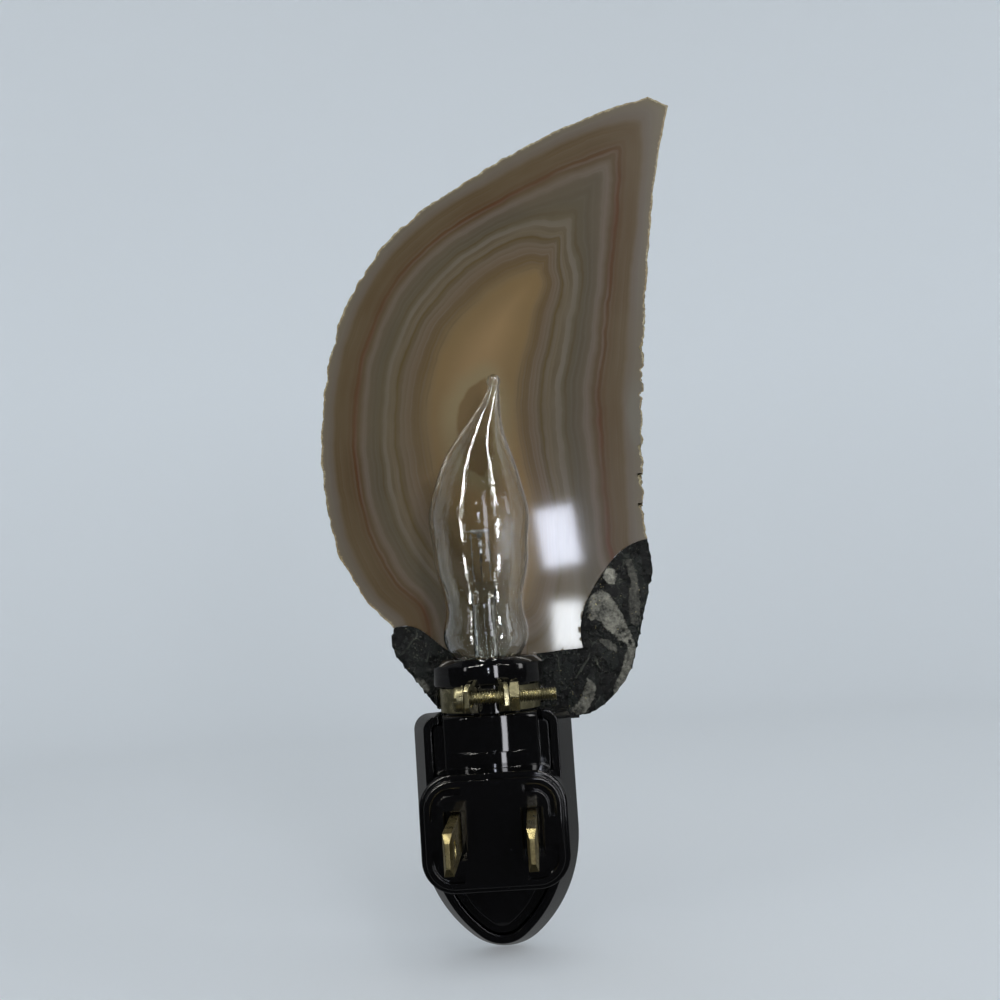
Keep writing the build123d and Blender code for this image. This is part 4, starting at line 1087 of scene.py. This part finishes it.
def sweep_part(name, start, end, radius, surface, in_mirrors, in_glass):
    """A slice of the sweep between two angles, in degrees from +X towards +Y."""
    bm = bmesh.new()
    profile = [(0.0, 0.0), (radius - SWEEP_FILLET, 0.0)]
    for index in range(1, FILLET_STEPS + 1):
        angle = math.pi / 2 * index / FILLET_STEPS
        profile.append((radius - SWEEP_FILLET + SWEEP_FILLET * math.sin(angle),
                        SWEEP_FILLET - SWEEP_FILLET * math.cos(angle)))
    profile.append((radius, SWEEP_HEIGHT))
    first_way = Vector((math.cos(math.radians(start)), math.sin(math.radians(start)), 0))
    chain = [bm.verts.new(first_way * reach + Z_AXIS * (floor_z + height)) for reach, height in profile]
    for first, second in zip(chain, chain[1:]):
        bm.edges.new((first, second))
    bmesh.ops.spin(bm, geom=bm.verts[:] + bm.edges[:], cent=(0, 0, 0), axis=Z_AXIS,
                   angle=math.radians(end - start), steps=int((end - start) / FACET_ANGLE))
    bmesh.ops.remove_doubles(bm, verts=bm.verts[:], dist=0.1 * MM)
    mesh = bpy.data.meshes.new(name)
    bm.to_mesh(mesh)
    bm.free()
    mesh.shade_smooth()
    mesh.materials.append(surface)
    part = bpy.data.objects.new(name, mesh)
    bpy.context.scene.collection.objects.link(part)
    part.visible_glossy, part.visible_transmission = in_mirrors, in_glass
    return part


sweep_paint = glowing_paint("pale_sweep", 300.0, 2.0, (0.66, 0.70, 0.735, 1), (0.68, 0.72, 0.755, 1), 0.9,
                            (0.95, 0.985, 1.0, 1), 0.180)
card_paint = glowing_paint("dim_card", 400.0, 1.0, (0.02, 0.02, 0.02, 1), (0.03, 0.03, 0.03, 1), 1.0,
                           (0.95, 0.98, 1.0, 1), 0.115)
sweep_part("far_sweep", 180, 360, SWEEP_R, sweep_paint, False, True)
sweep_part("near_sweep", 0, 180, SWEEP_R, sweep_paint, False, False)
dim_card = sweep_part("dim_card", 180, 360, SWEEP_R - 0.02, card_paint, True, False)
dim_card.visible_camera = dim_card.visible_diffuse = dim_card.visible_shadow = False
print("Stage floor at", round(floor_z / MM, 1), "mm")

# %% [markdown]
# ## The lights
#
# A broad sky panel gives the soft light, and stays out of reflections. The others are there to be mirrored.
# Two small windows and a tall door show in the polished stone, two side windows edge the moulding, and two
# tubes draw long lines on it and on the brass. A clear bulb takes its shape from its highlights alone, so
# five narrow panels, the glints, add bright streaks to it. Light linking gives each of them a collection of
# receivers, here the bulb's glass, and nothing else is lit by them.

# %% Place the lights


def panel(name, place, target, width, height, power, colour=(1, 1, 1), roll=0.0):
    """A rectangular light that faces a target, rolled by some degrees."""
    light = bpy.data.lights.new(name, "AREA")
    light.shape = "RECTANGLE"
    light.size, light.size_y = width, height
    light.energy = power
    light.color = colour
    lamp = bpy.data.objects.new(name, light)
    bpy.context.scene.collection.objects.link(lamp)
    lamp.location = place
    lamp.rotation_euler = (Vector(target) - Vector(place)).to_track_quat("-Z", "Y").to_euler()
    lamp.rotation_euler.rotate_axis("Z", math.radians(roll))
    lamp.visible_camera = False
    return lamp


heart = (cad_bounds[0] + cad_bounds[1]) / 2
soft_sky = panel("soft_sky", (-0.10, 0.40, 0.85), heart, 0.5, 0.5, 0.9)
soft_sky.visible_glossy = soft_sky.visible_transmission = False
panel("upper_window", (-0.0282, 0.600, 0.0922), (-0.0282, 0, 0.0922), 0.0270, 0.0420, 0.071, (0.80, 0.85, 1.0), 7)
panel("lower_window", (-0.0310, 0.600, 0.0288), (-0.0310, 0, 0.0288), 0.0215, 0.0340, 0.047, (0.90, 0.95, 1.0))
door = panel("door", (-0.190, 0.565, 0.175), (0, 0, 0.10), 0.080, 0.55, 1.2, (0.93, 0.94, 1.0))
left_window = panel("left_window", (0.44, 0.41, 0.20), heart, 0.05, 0.25, 0.15)
right_window = panel("right_window", (-0.58, 0.155, 0.20), heart, 0.10, 0.30, 0.35)
left_tube = panel("left_tube", (0.25, 0.30, 0.51), heart, 0.016, 0.70, 2.3, (1.0, 0.99, 0.93))
right_tube = panel("right_tube", (-0.30, 0.27, 0.48), heart, 0.012, 0.60, 1.3, (1.0, 0.99, 0.93))
for window in (door, left_window, right_window):
    window.visible_transmission = False
GLINTS = {  # place, width, height and power
    "left_glint": ((0.25, 0.30, 0.54), 0.028, 0.60, 4.4),
    "right_glint": ((-0.30, 0.27, 0.47), 0.026, 0.56, 3.4),
    "left_foot_glint": ((0.25, 0.30, -0.05), 0.024, 0.14, 0.8),
    "right_foot_glint": ((-0.30, 0.27, -0.05), 0.040, 0.12, 1.0),
    "upper_glint": ((0.01, 0.46, 0.30), 0.045, 0.025, 0.7),
}
bulb_glass_only = bpy.data.collections.new("bulb_glass_only")
for glass_part in (flame, nodes["bulb_stem"]):
    bulb_glass_only.objects.link(glass_part)
for name, (place, width, height, power) in GLINTS.items():
    glint = panel(name, place, heart, width, height, power, (1.0, 0.99, 0.96))
    glint.light_linking.receiver_collection = bulb_glass_only
    glint.visible_diffuse = False
for tube in (left_tube, right_tube):
    tube.visible_diffuse = False

GLOW_COLOUR, GLOW = (0.95, 0.98, 1.0, 1), 0.025
world = bpy.data.worlds.new("room")
world.use_nodes = True
bpy.context.scene.world = world
room_glow = world.node_tree.nodes["Background"].inputs
room_glow["Color"].default_value, room_glow["Strength"].default_value = GLOW_COLOUR, GLOW
print("Lights placed")

# %% [markdown]
# ## The camera
#
# The camera looks at the wall side, a little from below, and is slightly tilted. Its place and angles come
# from a perspective fit to the plug's square face, its blades and the socket's axis.

# %% Camera

FOCAL_LENGTH = 43.2
EYE = Vector((-9.383, 200.117, 34.152)) * MM
YAW, PITCH, ROLL = math.radians(-1.39), math.radians(5.81), math.radians(3.79)
ahead = Vector((-math.sin(YAW) * math.cos(PITCH), -math.cos(YAW) * math.cos(PITCH), math.sin(PITCH)))
level_right = ahead.cross(Z_AXIS).normalized()
level_up = level_right.cross(ahead)
right = level_right * math.cos(ROLL) - level_up * math.sin(ROLL)
up = level_right * math.sin(ROLL) + level_up * math.cos(ROLL)
camera_data = bpy.data.cameras.new("camera")
camera_data.lens = FOCAL_LENGTH
camera_data.sensor_width = 36.0
camera_data.clip_start = 0.01
camera = bpy.data.objects.new("camera", camera_data)
bpy.context.scene.collection.objects.link(camera)
camera.matrix_world = Matrix.Translation(EYE) @ Matrix((right, up, -ahead)).transposed().to_4x4()
bpy.context.scene.camera = camera
bpy.context.scene.view_settings.view_transform = "Standard"
print("Camera at", [round(value / MM, 1) for value in camera.location], "mm")
